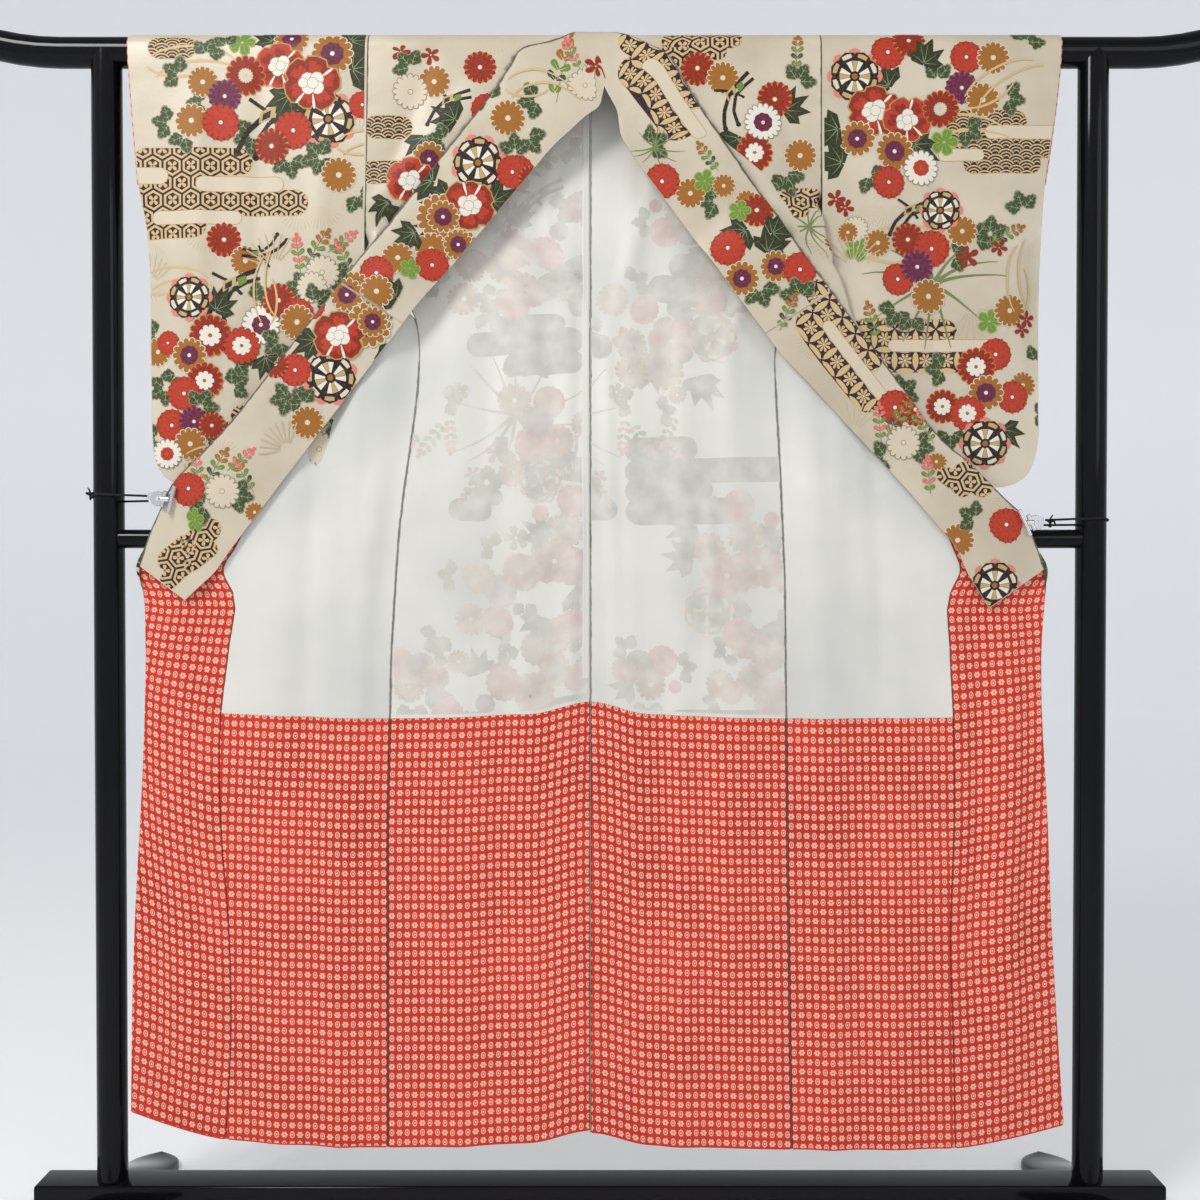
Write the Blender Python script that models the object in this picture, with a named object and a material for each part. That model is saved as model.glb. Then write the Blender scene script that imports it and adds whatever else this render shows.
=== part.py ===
"""Lined silk kimono with small all-over pattern, hung open on a black tube rack; metres, +Z up, front faces -Y."""
import math

import bmesh
import bpy
import numpy as np
from mathutils import Vector

for old in list(bpy.data.objects):
    bpy.data.objects.remove(old, do_unlink=True)

LEFT, RIGHT = -1, 1

# Rack sizes
BAR_Z = 1.690
BAR_R = 0.02135
BAR_HALF = 0.925
BAR_STRAIGHT = 0.770
BAR_END_RISE = 0.030
POST_X = 0.708
RUNG_Z = 0.993
RUNG_R = 0.0136
RAIL_HALF = 0.812
RAIL_HALF_DEPTH = 0.0275
RAIL_TOP = 0.065
RAIL_BOTTOM = 0.020
RAIL_BEVEL = 0.0015
FOOT_HALF_WIDTH = 0.040
FOOT_HALF_DEPTH = 0.200
FOOT_MID_TOP = 0.048
FOOT_END_TOP = 0.012
TUBE_SIDES = 20

# Cloth sizes
CLOTH = 0.001
GAP = 0.0003
WRAP_R = BAR_R + GAP + CLOTH + GAP + CLOTH / 2
LINING_IN = -(CLOTH + GAP)
OVER_OUT = CLOTH + GAP
QUARTER = math.pi / 2 * WRAP_R
CENTRE_X = -0.014
WRAP_STEP = math.radians(18) * WRAP_R
NECK_S = -WRAP_STEP
COLLAR_LIFT = 0.0012
FOLD_R = 0.0035
TURN_LENGTH = math.pi * FOLD_R
TURN_REST = 0.010
SEAM_REST = 0.0010
EDGE_EASE = 1.7
OKUMI_TOP_GAP = 0.0009
SLEEVE_CLEAR = 0.005
SLEEVE_BOTTOM_Z = 1.066
SEAM_TURN = 0.0055
SLEEVE_MOUTH = 0.230
CUFF_STRIP = 0.018
RED_ROW = 0.7355

# Side edge of back and front, sewn to the sleeve down to joint_end, open to pit_end, then the side seam
SIDE = {
    LEFT: [(0.100, -0.305), (0.615, -0.304), (0.862, -0.297), (1.017, -0.286), (1.105, -0.274), (1.193, -0.261),
           (1.255, -0.259), (1.309, -0.266), (1.437, -0.334), (1.720, -0.329)],
    RIGHT: [(0.100, 0.276), (0.281, 0.273), (0.615, 0.268), (0.935, 0.264), (1.101, 0.257), (1.193, 0.252),
            (1.273, 0.253), (1.494, 0.315), (1.720, 0.314)],
}
JOINT_END = {LEFT: 1.437, RIGHT: 1.494}
PIT_END = {LEFT: 1.309, RIGHT: 1.273}
SLEEVE_IN = {LEFT: -0.3345, RIGHT: 0.3155}

# Outer edge of the collar and its free edge, in pairs from the neck to the end: x and z of each
COLLAR = {
    LEFT: [(-0.055, 1.6992, 0.000, 1.605), (-0.106, 1.683, -0.021, 1.590), (-0.124, 1.657, -0.043, 1.570),
           (-0.141, 1.630, -0.062, 1.553), (-0.282, 1.452, -0.196, 1.396), (-0.343, 1.374, -0.259, 1.321),
           (-0.523, 1.148, -0.439, 1.087), (-0.602, 1.065, -0.517, 0.985), (-0.632, 1.000, -0.545, 0.946),
           (-0.654, 0.952, -0.591, 0.903)],
    RIGHT: [(0.048, 1.6992, 0.024, 1.600), (0.093, 1.672, 0.031, 1.560), (0.125, 1.619, 0.045, 1.537),
            (0.282, 1.392, 0.193, 1.336), (0.343, 1.309, 0.255, 1.254), (0.479, 1.129, 0.423, 1.074),
            (0.520, 1.095, 0.457, 1.036), (0.571, 1.044, 0.504, 0.980), (0.597, 1.019, 0.521, 0.943),
            (0.631, 0.948, 0.553, 0.892)],
}
COLLAR_CENTRE_FREE = (0.006, 1.632)
COLLAR_END = {LEFT: 0.952, RIGHT: 0.948}
OVER_COLLAR_END = {LEFT: 1.330, RIGHT: 1.312}

# Outermost line of the rolled-back front edge, where it stands clear of the collar: z, x
ROLL = {
    LEFT: [(1.326, -0.382), (1.352, -0.361), (1.383, -0.344), (1.410, -0.3325), (1.437, -0.3300)],
    RIGHT: [(1.138, 0.476), (1.189, 0.442), (1.238, 0.399), (1.268, 0.381), (1.300, 0.362), (1.344, 0.344),
            (1.414, 0.320), (1.465, 0.3145), (1.494, 0.3130)],
}
# Okumi seam below the collar, and the free front edge: z, x
OKUMI_SEAM = {
    LEFT: [(0.100, -0.540), (0.288, -0.529), (0.399, -0.529), (0.534, -0.541), (0.619, -0.545), (0.754, -0.542),
           (0.798, -0.537), (0.862, -0.526), (0.928, -0.520), (1.016, -0.508)],
    RIGHT: [(0.100, 0.511), (0.326, 0.506), (0.473, 0.501), (0.619, 0.509), (0.754, 0.505), (0.827, 0.500),
            (0.899, 0.497), (0.986, 0.495)],
}
FREE_EDGE = {
    LEFT: [(0.150, -0.674), (0.253, -0.674), (0.400, -0.669), (0.492, -0.665), (0.619, -0.657), (0.754, -0.651),
           (0.862, -0.649), (0.935, -0.647), (0.952, -0.652)],
    RIGHT: [(0.120, 0.669), (0.253, 0.659), (0.381, 0.651), (0.492, 0.645), (0.619, 0.640), (0.681, 0.637),
            (0.772, 0.631), (0.930, 0.631), (0.948, 0.634)],
}
KENSAKI_Z = {LEFT: 1.462, RIGHT: 1.475}
OKUMI_TOP_Z = {LEFT: 1.326, RIGHT: 1.273}
HEM_Z = {LEFT: 0.1185, RIGHT: 0.1155}
FRONT_RISE = {LEFT: (0.012, 0.052), RIGHT: (0.002, 0.036)}

# Outer edge of the sleeve: z, x
SLEEVE_OUT = {
    LEFT: [(1.066, -0.590), (1.072, -0.608), (1.086, -0.627), (1.105, -0.635), (1.134, -0.639), (1.262, -0.642),
           (1.418, -0.644), (1.489, -0.655), (1.617, -0.665), (1.720, -0.671)],
    RIGHT: [(1.066, 0.575), (1.072, 0.595), (1.084, 0.610), (1.105, 0.620), (1.134, 0.626), (1.262, 0.626),
            (1.492, 0.631), (1.610, 0.648), (1.720, 0.656)],
}

# Soft upright folds of the back, seen from inside: x, width, depth towards the viewer, top z, bottom z
BACK_FOLDS = [
    (-0.200, 0.030, 0.006, 1.45, 0.10), (-0.110, 0.022, 0.005, 1.60, 0.75), (-0.045, 0.016, 0.004, 1.62, 0.60),
    (0.045, 0.016, 0.004, 1.62, 0.55), (0.115, 0.024, 0.006, 1.50, 0.10), (0.195, 0.026, 0.005, 1.40, 0.30),
]
# The same of the opened fronts
FRONT_FOLDS = [
    (-0.590, 0.022, 0.006, 0.90, 0.20), (-0.460, 0.030, 0.005, 0.95, 0.10), (-0.375, 0.026, 0.006, 0.95, 0.10),
    (0.335, 0.024, 0.006, 0.95, 0.10), (0.425, 0.030, 0.005, 0.95, 0.10), (0.575, 0.022, 0.006, 0.90, 0.20),
]

COLOURS = {
    "black_enamel": ((0.012, 0.012, 0.014), 0.18, 0.0),
    "clip_metal": ((0.70, 0.70, 0.72), 0.22, 1.0),
    "elastic_cord": ((0.02, 0.02, 0.02), 0.80, 0.0),
    "print_cloth": ((0.80, 0.72, 0.56), 0.70, 0.0),
    "white_lining": ((0.74, 0.73, 0.69), 0.60, 0.0),
    "red_lining": ((0.58, 0.07, 0.05), 0.65, 0.0),
}


def paint(obj, slot):
    colour, rough, metal = COLOURS[slot]
    material = bpy.data.materials.new(obj.name + "_" + slot)
    material.use_nodes = True
    shader = material.node_tree.nodes["Principled BSDF"]
    shader.inputs["Base Color"].default_value = (*colour, 1.0)
    shader.inputs["Roughness"].default_value = rough
    shader.inputs["Metallic"].default_value = metal
    obj.data.materials.append(material)


def make(name, verts, faces, slot):
    mesh = bpy.data.meshes.new(name)
    mesh.from_pydata([tuple(float(c) for c in v) for v in verts], [], faces)
    shape = bmesh.new()
    shape.from_mesh(mesh)
    bmesh.ops.recalc_face_normals(shape, faces=shape.faces)
    bmesh.ops.triangulate(shape, faces=shape.faces)
    shape.to_mesh(mesh)
    shape.free()
    obj = bpy.data.objects.new(name, mesh)
    bpy.context.collection.objects.link(obj)
    paint(obj, slot)
    return obj


def smooth(value):
    t = min(max(value, 0.0), 1.0)
    return t * t * (3 - 2 * t)


def mix(a, b, t):
    return a + (b - a) * t


def look(rows, z):
    return float(np.interp(z, [r[0] for r in rows], [r[1] for r in rows]))


def hang(s):
    """Y and Z of a cloth laid over the bar, s metres from its top, forwards above zero."""
    angle = min(max(s / WRAP_R, -math.pi / 2), math.pi / 2)
    drop = max(abs(s) - QUARTER, 0.0)
    return -WRAP_R * math.sin(angle), BAR_Z + WRAP_R * math.cos(angle) - drop


def length_at(z):
    return QUARTER + BAR_Z - z


def back_y(z):
    return WRAP_R - (WRAP_R + 0.0165) * smooth((BAR_Z - z) / 0.66)


def sleeve_front_y(z):
    return -WRAP_R + 0.003 * smooth((BAR_Z - z) / 0.62)


def folds(rows, x, z):
    total = 0.0
    for centre, width, depth, top, bottom in rows:
        fade = smooth((top - z) / 0.25) * smooth((z - bottom) / 0.10 + 0.5)
        total += depth * fade * math.exp(-(((x - centre) / width) ** 2))
    return total


def clear_rung(z):
    """Folds start flat where the cloth rests on the rung."""
    return 1.0 - 0.6 * math.exp(-(((z - RUNG_Z) / 0.05) ** 2))


BACK_LEVELS = {
    LEFT: (0.1185, 0.26, 0.42, 0.58, 0.7355, 0.84, 0.93, 1.00, 1.065, 1.148, 1.23, 1.309, 1.37, 1.437, 1.52, 1.61),
    RIGHT: (0.1155, 0.26, 0.42, 0.58, 0.7355, 0.84, 0.93, 1.00, 1.07, 1.129, 1.20, 1.273, 1.37, 1.437, 1.494, 1.59),
}


def side_seam(side, z):
    """X and Y of the side edge, straight between the back's rows so that both sides of the seam agree."""
    levels = BACK_LEVELS[side]
    if z > PIT_END[side]:
        return look(SIDE[side], z), back_y(z)
    return (float(np.interp(z, levels, [look(SIDE[side], v) for v in levels])),
            float(np.interp(z, levels, [back_y(v) for v in levels])))


def front_edge_x(side, z):
    """Collar seam above the collar's end, free edge below it."""
    if z < COLLAR_END[side]:
        return look(FREE_EDGE[side], z)
    rows = [(p[1], p[0]) for p in reversed(COLLAR[side])]
    if z <= rows[-1][0]:
        return look(rows, z)
    return rows[-1][1]


def roll_x(side, z):
    edge = front_edge_x(side, z) + side * SEAM_TURN
    rows = ROLL[side]
    if z < rows[0][0]:
        return edge
    return side * max(side * look(rows, z), side * edge)


def front_depth(side, z):
    """Y of the opened front where it passes before the sleeve, and of the flat front below it."""
    layer = sleeve_front_y(z) - SLEEVE_CLEAR
    return mix(layer, back_y(z) - 0.001, smooth((1.05 - z) / 0.30))


def unroll(side, z):
    """One where the front edge is rolled, none a little below the collar's end."""
    return smooth((z - COLLAR_END[side] + 0.045) / 0.045)


def curl(x, y, side, angle, rear):
    """Points of a bend of fixed length that starts at x, y heading outwards and turns to the rear or the front."""
    points = []
    for k in range(7):
        a = max(angle, 0.01) * k / 6
        radius = TURN_LENGTH / max(angle, 0.01)
        points.append((x + side * radius * math.sin(a), y + rear * radius * (1 - math.cos(a))))
    return points


def front_path(side, z):
    """Plan of the front at height z, from the side edge to the collar seam or free edge: list of (x, y)."""
    xa, y_seam = side_seam(side, z)
    xf = front_edge_x(side, z)
    joint, pit = JOINT_END[side], PIT_END[side]
    opened = smooth((joint - z) / 0.055)
    sewn = 1.0
    if z > COLLAR_END[side]:
        y_front = mix(sleeve_front_y(z), front_depth(side, z) - 2 * FOLD_R, opened)
        x_joint = look(SIDE[side], max(z, joint)) - side * (TURN_LENGTH + TURN_REST)
        tip = mix(x_joint, roll_x(side, z) - side * FOLD_R, opened)
        angle = math.pi * opened
        bend = curl(tip, y_front, side, angle, 1)[::-1]
        xe, ye = bend[0]
        free = (xe + side * TURN_REST * math.cos(angle), ye + TURN_REST * math.sin(angle))
        sewn = smooth((joint - 0.02 - z) / (joint - 0.02 - pit))
        spread = PIT_SPREAD * smooth((z - pit) / 0.015)
        xa, ya = mix(free[0], xa + side * spread, sewn), mix(free[1], y_seam, sewn)
        tail = [(mix(tip, xf, k / 2), y_front) for k in range(1, 3)]
    else:
        turned = unroll(side, z)
        x_rolled = front_edge_x(side, COLLAR_END[side] + 1e-6) + side * (SEAM_TURN - FOLD_R)
        xe = mix(xf - side * (TURN_LENGTH + 2 * SEAM_REST), x_rolled, turned)
        ye = front_depth(side, z)
        ya = y_seam
        angle = math.pi * turned
        bend = curl(xe, ye, side, angle, -1)
        bx, by = bend[-1]
        ends = [(bx + side * SEAM_REST * k * math.cos(angle), by - SEAM_REST * k * math.sin(angle)) for k in (1, 2)]
        tail = ends
    length = max(math.hypot(xe - xa, ye - ya), 1e-6)
    run = max(abs(xa - SLEEVE_IN[side]) - 0.006, 0.002)
    run = min(mix(min(run, 0.056), 0.10, smooth((1.02 - z) / 0.20)) / length, 1.0)
    run = mix(1.0, run, smooth(sewn / 0.3))
    shares = [(i / 10) ** EDGE_EASE for i in range(10)]
    first = [(mix(xa, xe, t), mix(ya, ye, smooth(t / run))) for t in shares]
    return first + bend + tail


def along(path):
    steps = [0.0]
    for a, b in zip(path, path[1:]):
        steps.append(steps[-1] + math.hypot(b[0] - a[0], b[1] - a[1]))
    return steps


def path_point(path, steps, s):
    return (float(np.interp(s, steps, [p[0] for p in path])), float(np.interp(s, steps, [p[1] for p in path])))


def okumi_width(side, z):
    """Cloth width of the okumi at height z."""
    full_z = 1.00
    seam = look(OKUMI_SEAM[side], min(z, full_z))
    width_low = abs(front_edge_x(side, min(z, 0.93)) - seam)
    path = front_path(side, full_z)
    width_full = along(path)[-1] - abs(look(OKUMI_SEAM[side], full_z) - path[0][0])
    if z >= full_z:
        return max(width_full * (KENSAKI_Z[side] - z) / (KENSAKI_Z[side] - full_z), 0.0)
    return mix(width_full, width_low, smooth((full_z - z) / 0.08))


TANGENT_STEP = 0.0006
BODY_COLUMNS = 10
SEAM_COLUMN = 5
PIT_SPREAD = 0.003
OKUMI_COLUMNS = 6


def body_stations(side, z):
    """Distances from the side edge of the body's columns, with the plan they run along."""
    path = front_path(side, z)
    steps = along(path)
    seam = steps[-1] - okumi_width(side, z)
    even = np.linspace(0.0, steps[-1], BODY_COLUMNS)
    seam = min(seam, steps[10] - 0.004)
    locked = np.array(list(np.linspace(0.0, seam, SEAM_COLUMN + 1)) + [steps[10], steps[13], steps[16], steps[-1]])
    lock = smooth((JOINT_END[side] + 0.06 - z) / 0.06)
    return path, steps, even * (1 - lock) + locked * lock


def okumi_stations(side, z):
    path = front_path(side, z)
    steps = along(path)
    start = steps[-1] - okumi_width(side, z)
    even = np.linspace(start, steps[-1], OKUMI_COLUMNS)
    tail = 0.0010
    a, b, c = [max(steps[k], start + n * tail) for k, n in ((10, 2), (13, 3), (16, 4))]
    locked = np.array([start, mix(start, a, 0.5), a, b, c, steps[-1]])
    lock = smooth((z - COLLAR_END[side] + 0.12) / 0.05)
    return path, steps, even * (1 - lock) + locked * lock


def front_rise(side, share, z):
    """How much the cloth is lifted at a share 0..1 from the side seam to the okumi seam, 1..2 on the okumi."""
    seam, edge = FRONT_RISE[side]
    value = seam * min(share, 1.0) ** 1.5 + (edge - seam) * max(share - 1.0, 0.0) ** 1.3
    return value * smooth((1.00 - z) / 0.45)


def front_point(side, z, station, part):
    """One point of the front at level z and column station, part 'body' or 'okumi'."""
    columns = BODY_COLUMNS if part == "body" else OKUMI_COLUMNS
    share = station / (columns - 1) + 1.0 if part == "okumi" else station / SEAM_COLUMN
    level = z + front_rise(side, share, z)
    pick = body_stations if part == "body" else okumi_stations
    path, steps, marks = pick(side, level)
    first, last = marks[0], marks[SEAM_COLUMN if part == "body" and z <= OKUMI_TOP_Z[side] else -1]
    inset = GAP / 2
    s = marks[station]
    if station <= (SEAM_COLUMN if part == "body" and z <= OKUMI_TOP_Z[side] else columns):
        s = min(max(s, first + inset), last - inset)
    x, y = path_point(path, steps, s)
    near, far = path_point(path, steps, s - TANGENT_STEP), path_point(path, steps, s + TANGENT_STEP)
    y -= folds(FRONT_FOLDS, x, level) * clear_rung(level)
    return (x, y, level), (far[0] - near[0], far[1] - near[1], 0.0)


def neck_x(side, s):
    """The body's inner edge over the bar: centre seam behind, collar seam in front."""
    first = COLLAR[side][0]
    s0, s1 = NECK_S, length_at(first[1]) if first[1] < BAR_Z else WRAP_R * math.acos((first[1] - BAR_Z) / WRAP_R)
    if s <= s0:
        return CENTRE_X
    if s < s1:
        return mix(CENTRE_X, first[0], (s - s0) / (s1 - s0))
    rows = [(s1, first[0])] + [(length_at(p[1]), p[0]) for p in COLLAR[side][1:3]]
    return look(rows, s)


def body_rows(side):
    """Rows of a body width from the back hem over the bar to the front hem: (kind, level)."""
    rows = [("back", z) for z in BACK_LEVELS[side]]
    rows += [("arc", WRAP_STEP * k) for k in range(-5, 6)]
    if side == LEFT:
        front = (1.683, 1.657, 1.630, 1.575, 1.52, 1.475, 1.452, 1.437, 1.426, 1.415, 1.403, 1.390, 1.374, 1.350,
                 1.326, 1.309, 1.23, 1.148, 1.105, 1.065, 1.03, 1.000, 0.976, 0.9525, 0.942, 0.93, 0.915)
    else:
        front = (1.672, 1.645, 1.619, 1.565, 1.52, 1.494, 1.482, 1.470, 1.457, 1.440, 1.417, 1.392, 1.366, 1.338,
                 1.309, 1.273, 1.20, 1.129, 1.095, 1.07, 1.044, 1.019, 1.00, 0.975, 0.9485, 0.938, 0.93, 0.915)
    rows += [("front", z) for z in front]
    rows += [("front", z) for z in (0.84, RED_ROW, 0.58, 0.42, 0.26, HEM_Z[side])]
    return rows


def back_rise(side, share, z):
    """The cloth is lifted towards the centre seam, share 0 at the side and 1 at the centre."""
    return (0.008 * smooth(share) + 0.016 * smooth((share - 0.70) / 0.30)) * smooth((1.15 - z) / 0.40)


def body_point(side, kind, level, share):
    """A point of the body's back or of its part over the bar, share 0 at the side and 1 at the inner edge."""
    if kind == "back":
        z = level + back_rise(side, share, level)
        x_side, y_side = side_seam(side, z)
        x = mix(x_side - side * GAP / 2, CENTRE_X + side * GAP / 2, share)
        return (x, back_y(z) - folds(BACK_FOLDS, x, z) * clear_rung(z), z)
    y, z = hang(level)
    outer = look(SIDE[side], z) - side * GAP / 2
    inner = CENTRE_X + side * GAP / 2 if level < NECK_S else neck_x(side, level) + side * GAP
    return (mix(outer, inner, share), y, z)


def front_grid(side, rows, part):
    columns = BODY_COLUMNS if part == "body" else OKUMI_COLUMNS
    cells = [[front_point(side, z, c, part) for c in range(columns)] for _, z in rows]
    points = np.array([[cell[0] for cell in row] for row in cells])
    return points, np.array([[row[0][1], row[-1][1]] for row in cells])


def share_grid(rows, columns, place):
    """Grid of place(kind, level, share) with the cross directions at its two edges."""
    step = 0.01
    points = [[place(k, v, c / (columns - 1)) for c in range(columns)] for k, v in rows]
    edges = [[np.subtract(place(k, v, step), place(k, v, 0.0)), np.subtract(place(k, v, 1.0), place(k, v, 1 - step))]
             for k, v in rows]
    return np.array(points), np.array(edges)


def body_grid(side, rows):
    behind = [r for r in rows if r[0] != "front"]
    before = [r for r in rows if r[0] == "front"]
    a, a_edges = share_grid(behind, BODY_COLUMNS, lambda k, v, s: body_point(side, k, v, s))
    b, b_edges = front_grid(side, before, "body")
    return np.concatenate([a, b]), np.concatenate([a_edges, b_edges])


def okumi_grid(side):
    rows = [r for r in body_rows(side) if r[0] == "front" and r[1] <= OKUMI_TOP_Z[side]]
    points, edges = front_grid(side, rows, "okumi")
    return trim(points, True, False, OKUMI_TOP_GAP), edges


def unit(v):
    return v / np.maximum(np.linalg.norm(v, axis=-1, keepdims=True), 1e-12)


def bisect(steps):
    """Mean direction at each point of a line from the unit steps between its points."""
    steps = unit(steps)
    return unit(np.concatenate([steps[:1], unit(steps[:-1] + steps[1:]), steps[-1:]]))


def normals(grid, edges, flip):
    down = bisect(np.diff(grid, axis=0))
    across = np.swapaxes(bisect(np.swapaxes(np.diff(grid, axis=1), 0, 1)), 0, 1)
    across[:, 0] = unit(edges[:, 0])
    across[:, -1] = unit(edges[:, 1])
    return unit(np.cross(down, across) * flip)


def sheet(name, grid, normal, offset, slot, narrow_from=None):
    """A closed wall, offset metres from the grid towards its print side; from one row on it may end at the seam."""
    rows, columns = grid.shape[:2]
    outer = grid + normal * (offset + CLOTH / 2)
    inner = grid + normal * (offset - CLOTH / 2)
    cells = {(r, c) for r in range(rows - 1) for c in range(columns - 1)
             if narrow_from is None or r < narrow_from or c < SEAM_COLUMN}
    used = sorted({(r + a, c + b) for r, c in cells for a in (0, 1) for b in (0, 1)})
    place = {key: i for i, key in enumerate(used)}
    verts = [outer[key] for key in used] + [inner[key] for key in used]
    half = len(used)
    faces = []
    for r, c in sorted(cells):
        a, b, e, d = place[r, c], place[r, c + 1], place[r + 1, c + 1], place[r + 1, c]
        faces.append((a, b, e, d))
        faces.append((half + a, half + d, half + e, half + b))
        for near, (p, q) in (((r - 1, c), (a, b)), ((r, c + 1), (b, e)), ((r + 1, c), (e, d)), ((r, c - 1), (d, a))):
            if near not in cells:
                faces.append((p, half + p, half + q, q))
    return make(name, verts, faces, slot)


def trim(grid, low, high, amount):
    """Pull the first or last row along the cloth by amount, to leave a seam gap."""
    g = grid.copy()
    if low:
        g[0] += unit(g[1] - g[0]) * amount
    if high:
        g[-1] += unit(g[-2] - g[-1]) * amount
    return g


def edge_line(side):
    """Points of the collar seam from the neck to the collar's end, where the body and okumi end."""
    points = []
    for kind, level in body_rows(side):
        if kind == "arc" and level > NECK_S - 1e-9:
            x, y, z = body_point(side, kind, level, 1.0)
            points.append((x - side * GAP, y, z))
        if kind == "front" and level >= COLLAR_END[side]:
            part = "body" if level > OKUMI_TOP_Z[side] else "okumi"
            last = (BODY_COLUMNS if part == "body" else OKUMI_COLUMNS) - 1
            points.append(front_point(side, level, last, part)[0])
    return [np.array(p) for p in points]


COLLAR_COLUMNS = 6


def free_edge_at(side, point):
    """The free edge's x and cloth length s for a point of the collar seam."""
    table = COLLAR[side]
    seam = [(CENTRE_X, BAR_Z + WRAP_R)] + [(p[0], p[1]) for p in table]
    free = [COLLAR_CENTRE_FREE] + [(p[2], p[3]) for p in table]
    steps = along(seam)
    best, place = 1e9, 0.0
    for i in range(len(seam) - 1):
        a, b = np.array(seam[i]), np.array(seam[i + 1])
        p = np.array([point[0], point[2]])
        t = float(np.clip(np.dot(p - a, b - a) / np.dot(b - a, b - a), 0, 1))
        d = float(np.linalg.norm(a + (b - a) * t - p))
        if d < best:
            best, place = d, mix(steps[i], steps[i + 1], t)
    return (float(np.interp(place, steps, [f[0] for f in free])), float(np.interp(place, steps, [f[1] for f in free])))


def collar_point(side, point, share):
    x1, z1 = free_edge_at(side, point)
    over = point[1] > -WRAP_R + 1e-6 and point[2] > BAR_Z - 1e-6
    s0 = WRAP_R * math.atan2(-point[1], point[2] - BAR_Z) if over else length_at(point[2])
    s1 = length_at(z1)
    shift = point[1] - hang(s0)[0]
    start = GAP / math.hypot(x1 - point[0], s1 - s0)
    t = mix(start, 1.0, share)
    s = mix(s0, s1, t)
    y, z = hang(s)
    angle = min(max(s / WRAP_R, -math.pi / 2), math.pi / 2)
    return (mix(point[0], x1, t), y + shift - COLLAR_LIFT * math.sin(angle), z + COLLAR_LIFT * math.cos(angle))


def collar_grid():
    neck = (CENTRE_X, -WRAP_R * math.sin(NECK_S / WRAP_R), BAR_Z + WRAP_R * math.cos(NECK_S / WRAP_R))
    rows = [(LEFT, p) for p in reversed(edge_line(LEFT)[1:])]
    rows += [(LEFT, neck)] + [(RIGHT, p) for p in edge_line(RIGHT)[1:]]
    return share_grid(rows, COLLAR_COLUMNS, collar_point)


SLEEVE_COLUMNS = 7


def sleeve_rows():
    down = [1.64, 1.56, 1.494, 1.437, 1.36, 1.27, 1.18, 1.13, 1.10, 1.083, 1.072, SLEEVE_BOTTOM_Z]
    rows = [("back", z) for z in reversed(down)]
    rows += [("arc", WRAP_STEP * k) for k in range(-5, 6)]
    rows += [("front", z) for z in down]
    return rows


def sleeve_point(side, kind, level, share):
    if kind == "arc":
        y, z = hang(level)
    else:
        z = level
        y = 0.0
    inner = look(SIDE[side], max(z, JOINT_END[side])) if z > JOINT_END[side] else SLEEVE_IN[side]
    inner += side * GAP / 2
    outer = look(SLEEVE_OUT[side], z)
    bow = share ** 0.8
    x = mix(inner, outer, bow)
    if kind == "arc":
        return (x, y, z)
    back, front = back_y(z), sleeve_front_y(z)
    middle = (back + front) / 2
    half = (back - front) / 2
    sewn = CLOTH / 2 + GAP / 2
    below_mouth = smooth((BAR_Z - SLEEVE_MOUTH - z) / 0.05)
    edge = smooth((abs(outer - x)) / 0.035)
    bottom = smooth((z - SLEEVE_BOTTOM_Z) / 0.05)
    open_share = min(bottom, mix(1.0, edge, below_mouth))
    depth = mix(sewn, half, open_share)
    return (x, middle + depth if kind == "back" else middle - depth, z)


def cuff_point(side, kind, level, share):
    x, y, z = sleeve_point(side, kind, level, 1.0)
    return (x - side * mix(CUFF_STRIP, -0.0015, share), y, z)


# Rack
def ring_tube(name, centres, frames, radius, slot, sides=TUBE_SIDES, caps=True):
    """Tube round a centre line; frames holds two unit vectors across it at each point."""
    verts, faces = [], []
    for centre, (a, b), r in zip(centres, frames, radius):
        for k in range(sides):
            t = 2 * math.pi * k / sides
            verts.append(Vector(centre) + (Vector(a) * math.cos(t) + Vector(b) * math.sin(t)) * r)
    for i in range(len(centres) - 1):
        for k in range(sides):
            n = (k + 1) % sides
            faces.append((i * sides + k, i * sides + n, (i + 1) * sides + n, (i + 1) * sides + k))
    if caps:
        faces.append(tuple(range(sides)))
        faces.append(tuple((len(centres) - 1) * sides + k for k in range(sides)))
    return make(name, verts, faces, slot)


def straight_tube(name, start, end, radius, slot, sides=TUBE_SIDES, turn=0.0):
    axis = (Vector(end) - Vector(start)).normalized()
    a = axis.orthogonal().normalized()
    b = axis.cross(a)
    c = a * math.cos(turn) + b * math.sin(turn)
    d = axis.cross(c)
    return ring_tube(name, [start, end], [(c, d)] * 2, [radius] * 2, slot, sides)


def bar_centre(x):
    over = max(abs(x) - BAR_STRAIGHT, 0.0) / (BAR_HALF - BAR_STRAIGHT)
    return (x, 0.0, BAR_Z + BAR_END_RISE * over * over)


def cut(target, cutter):
    """Take the cutter's volume out of the target."""
    change = target.modifiers.new("saddle", "BOOLEAN")
    change.operation = "DIFFERENCE"
    change.solver = "EXACT"
    change.object = cutter
    cutter.hide_render = True
    cutter.display_type = "WIRE"


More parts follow.
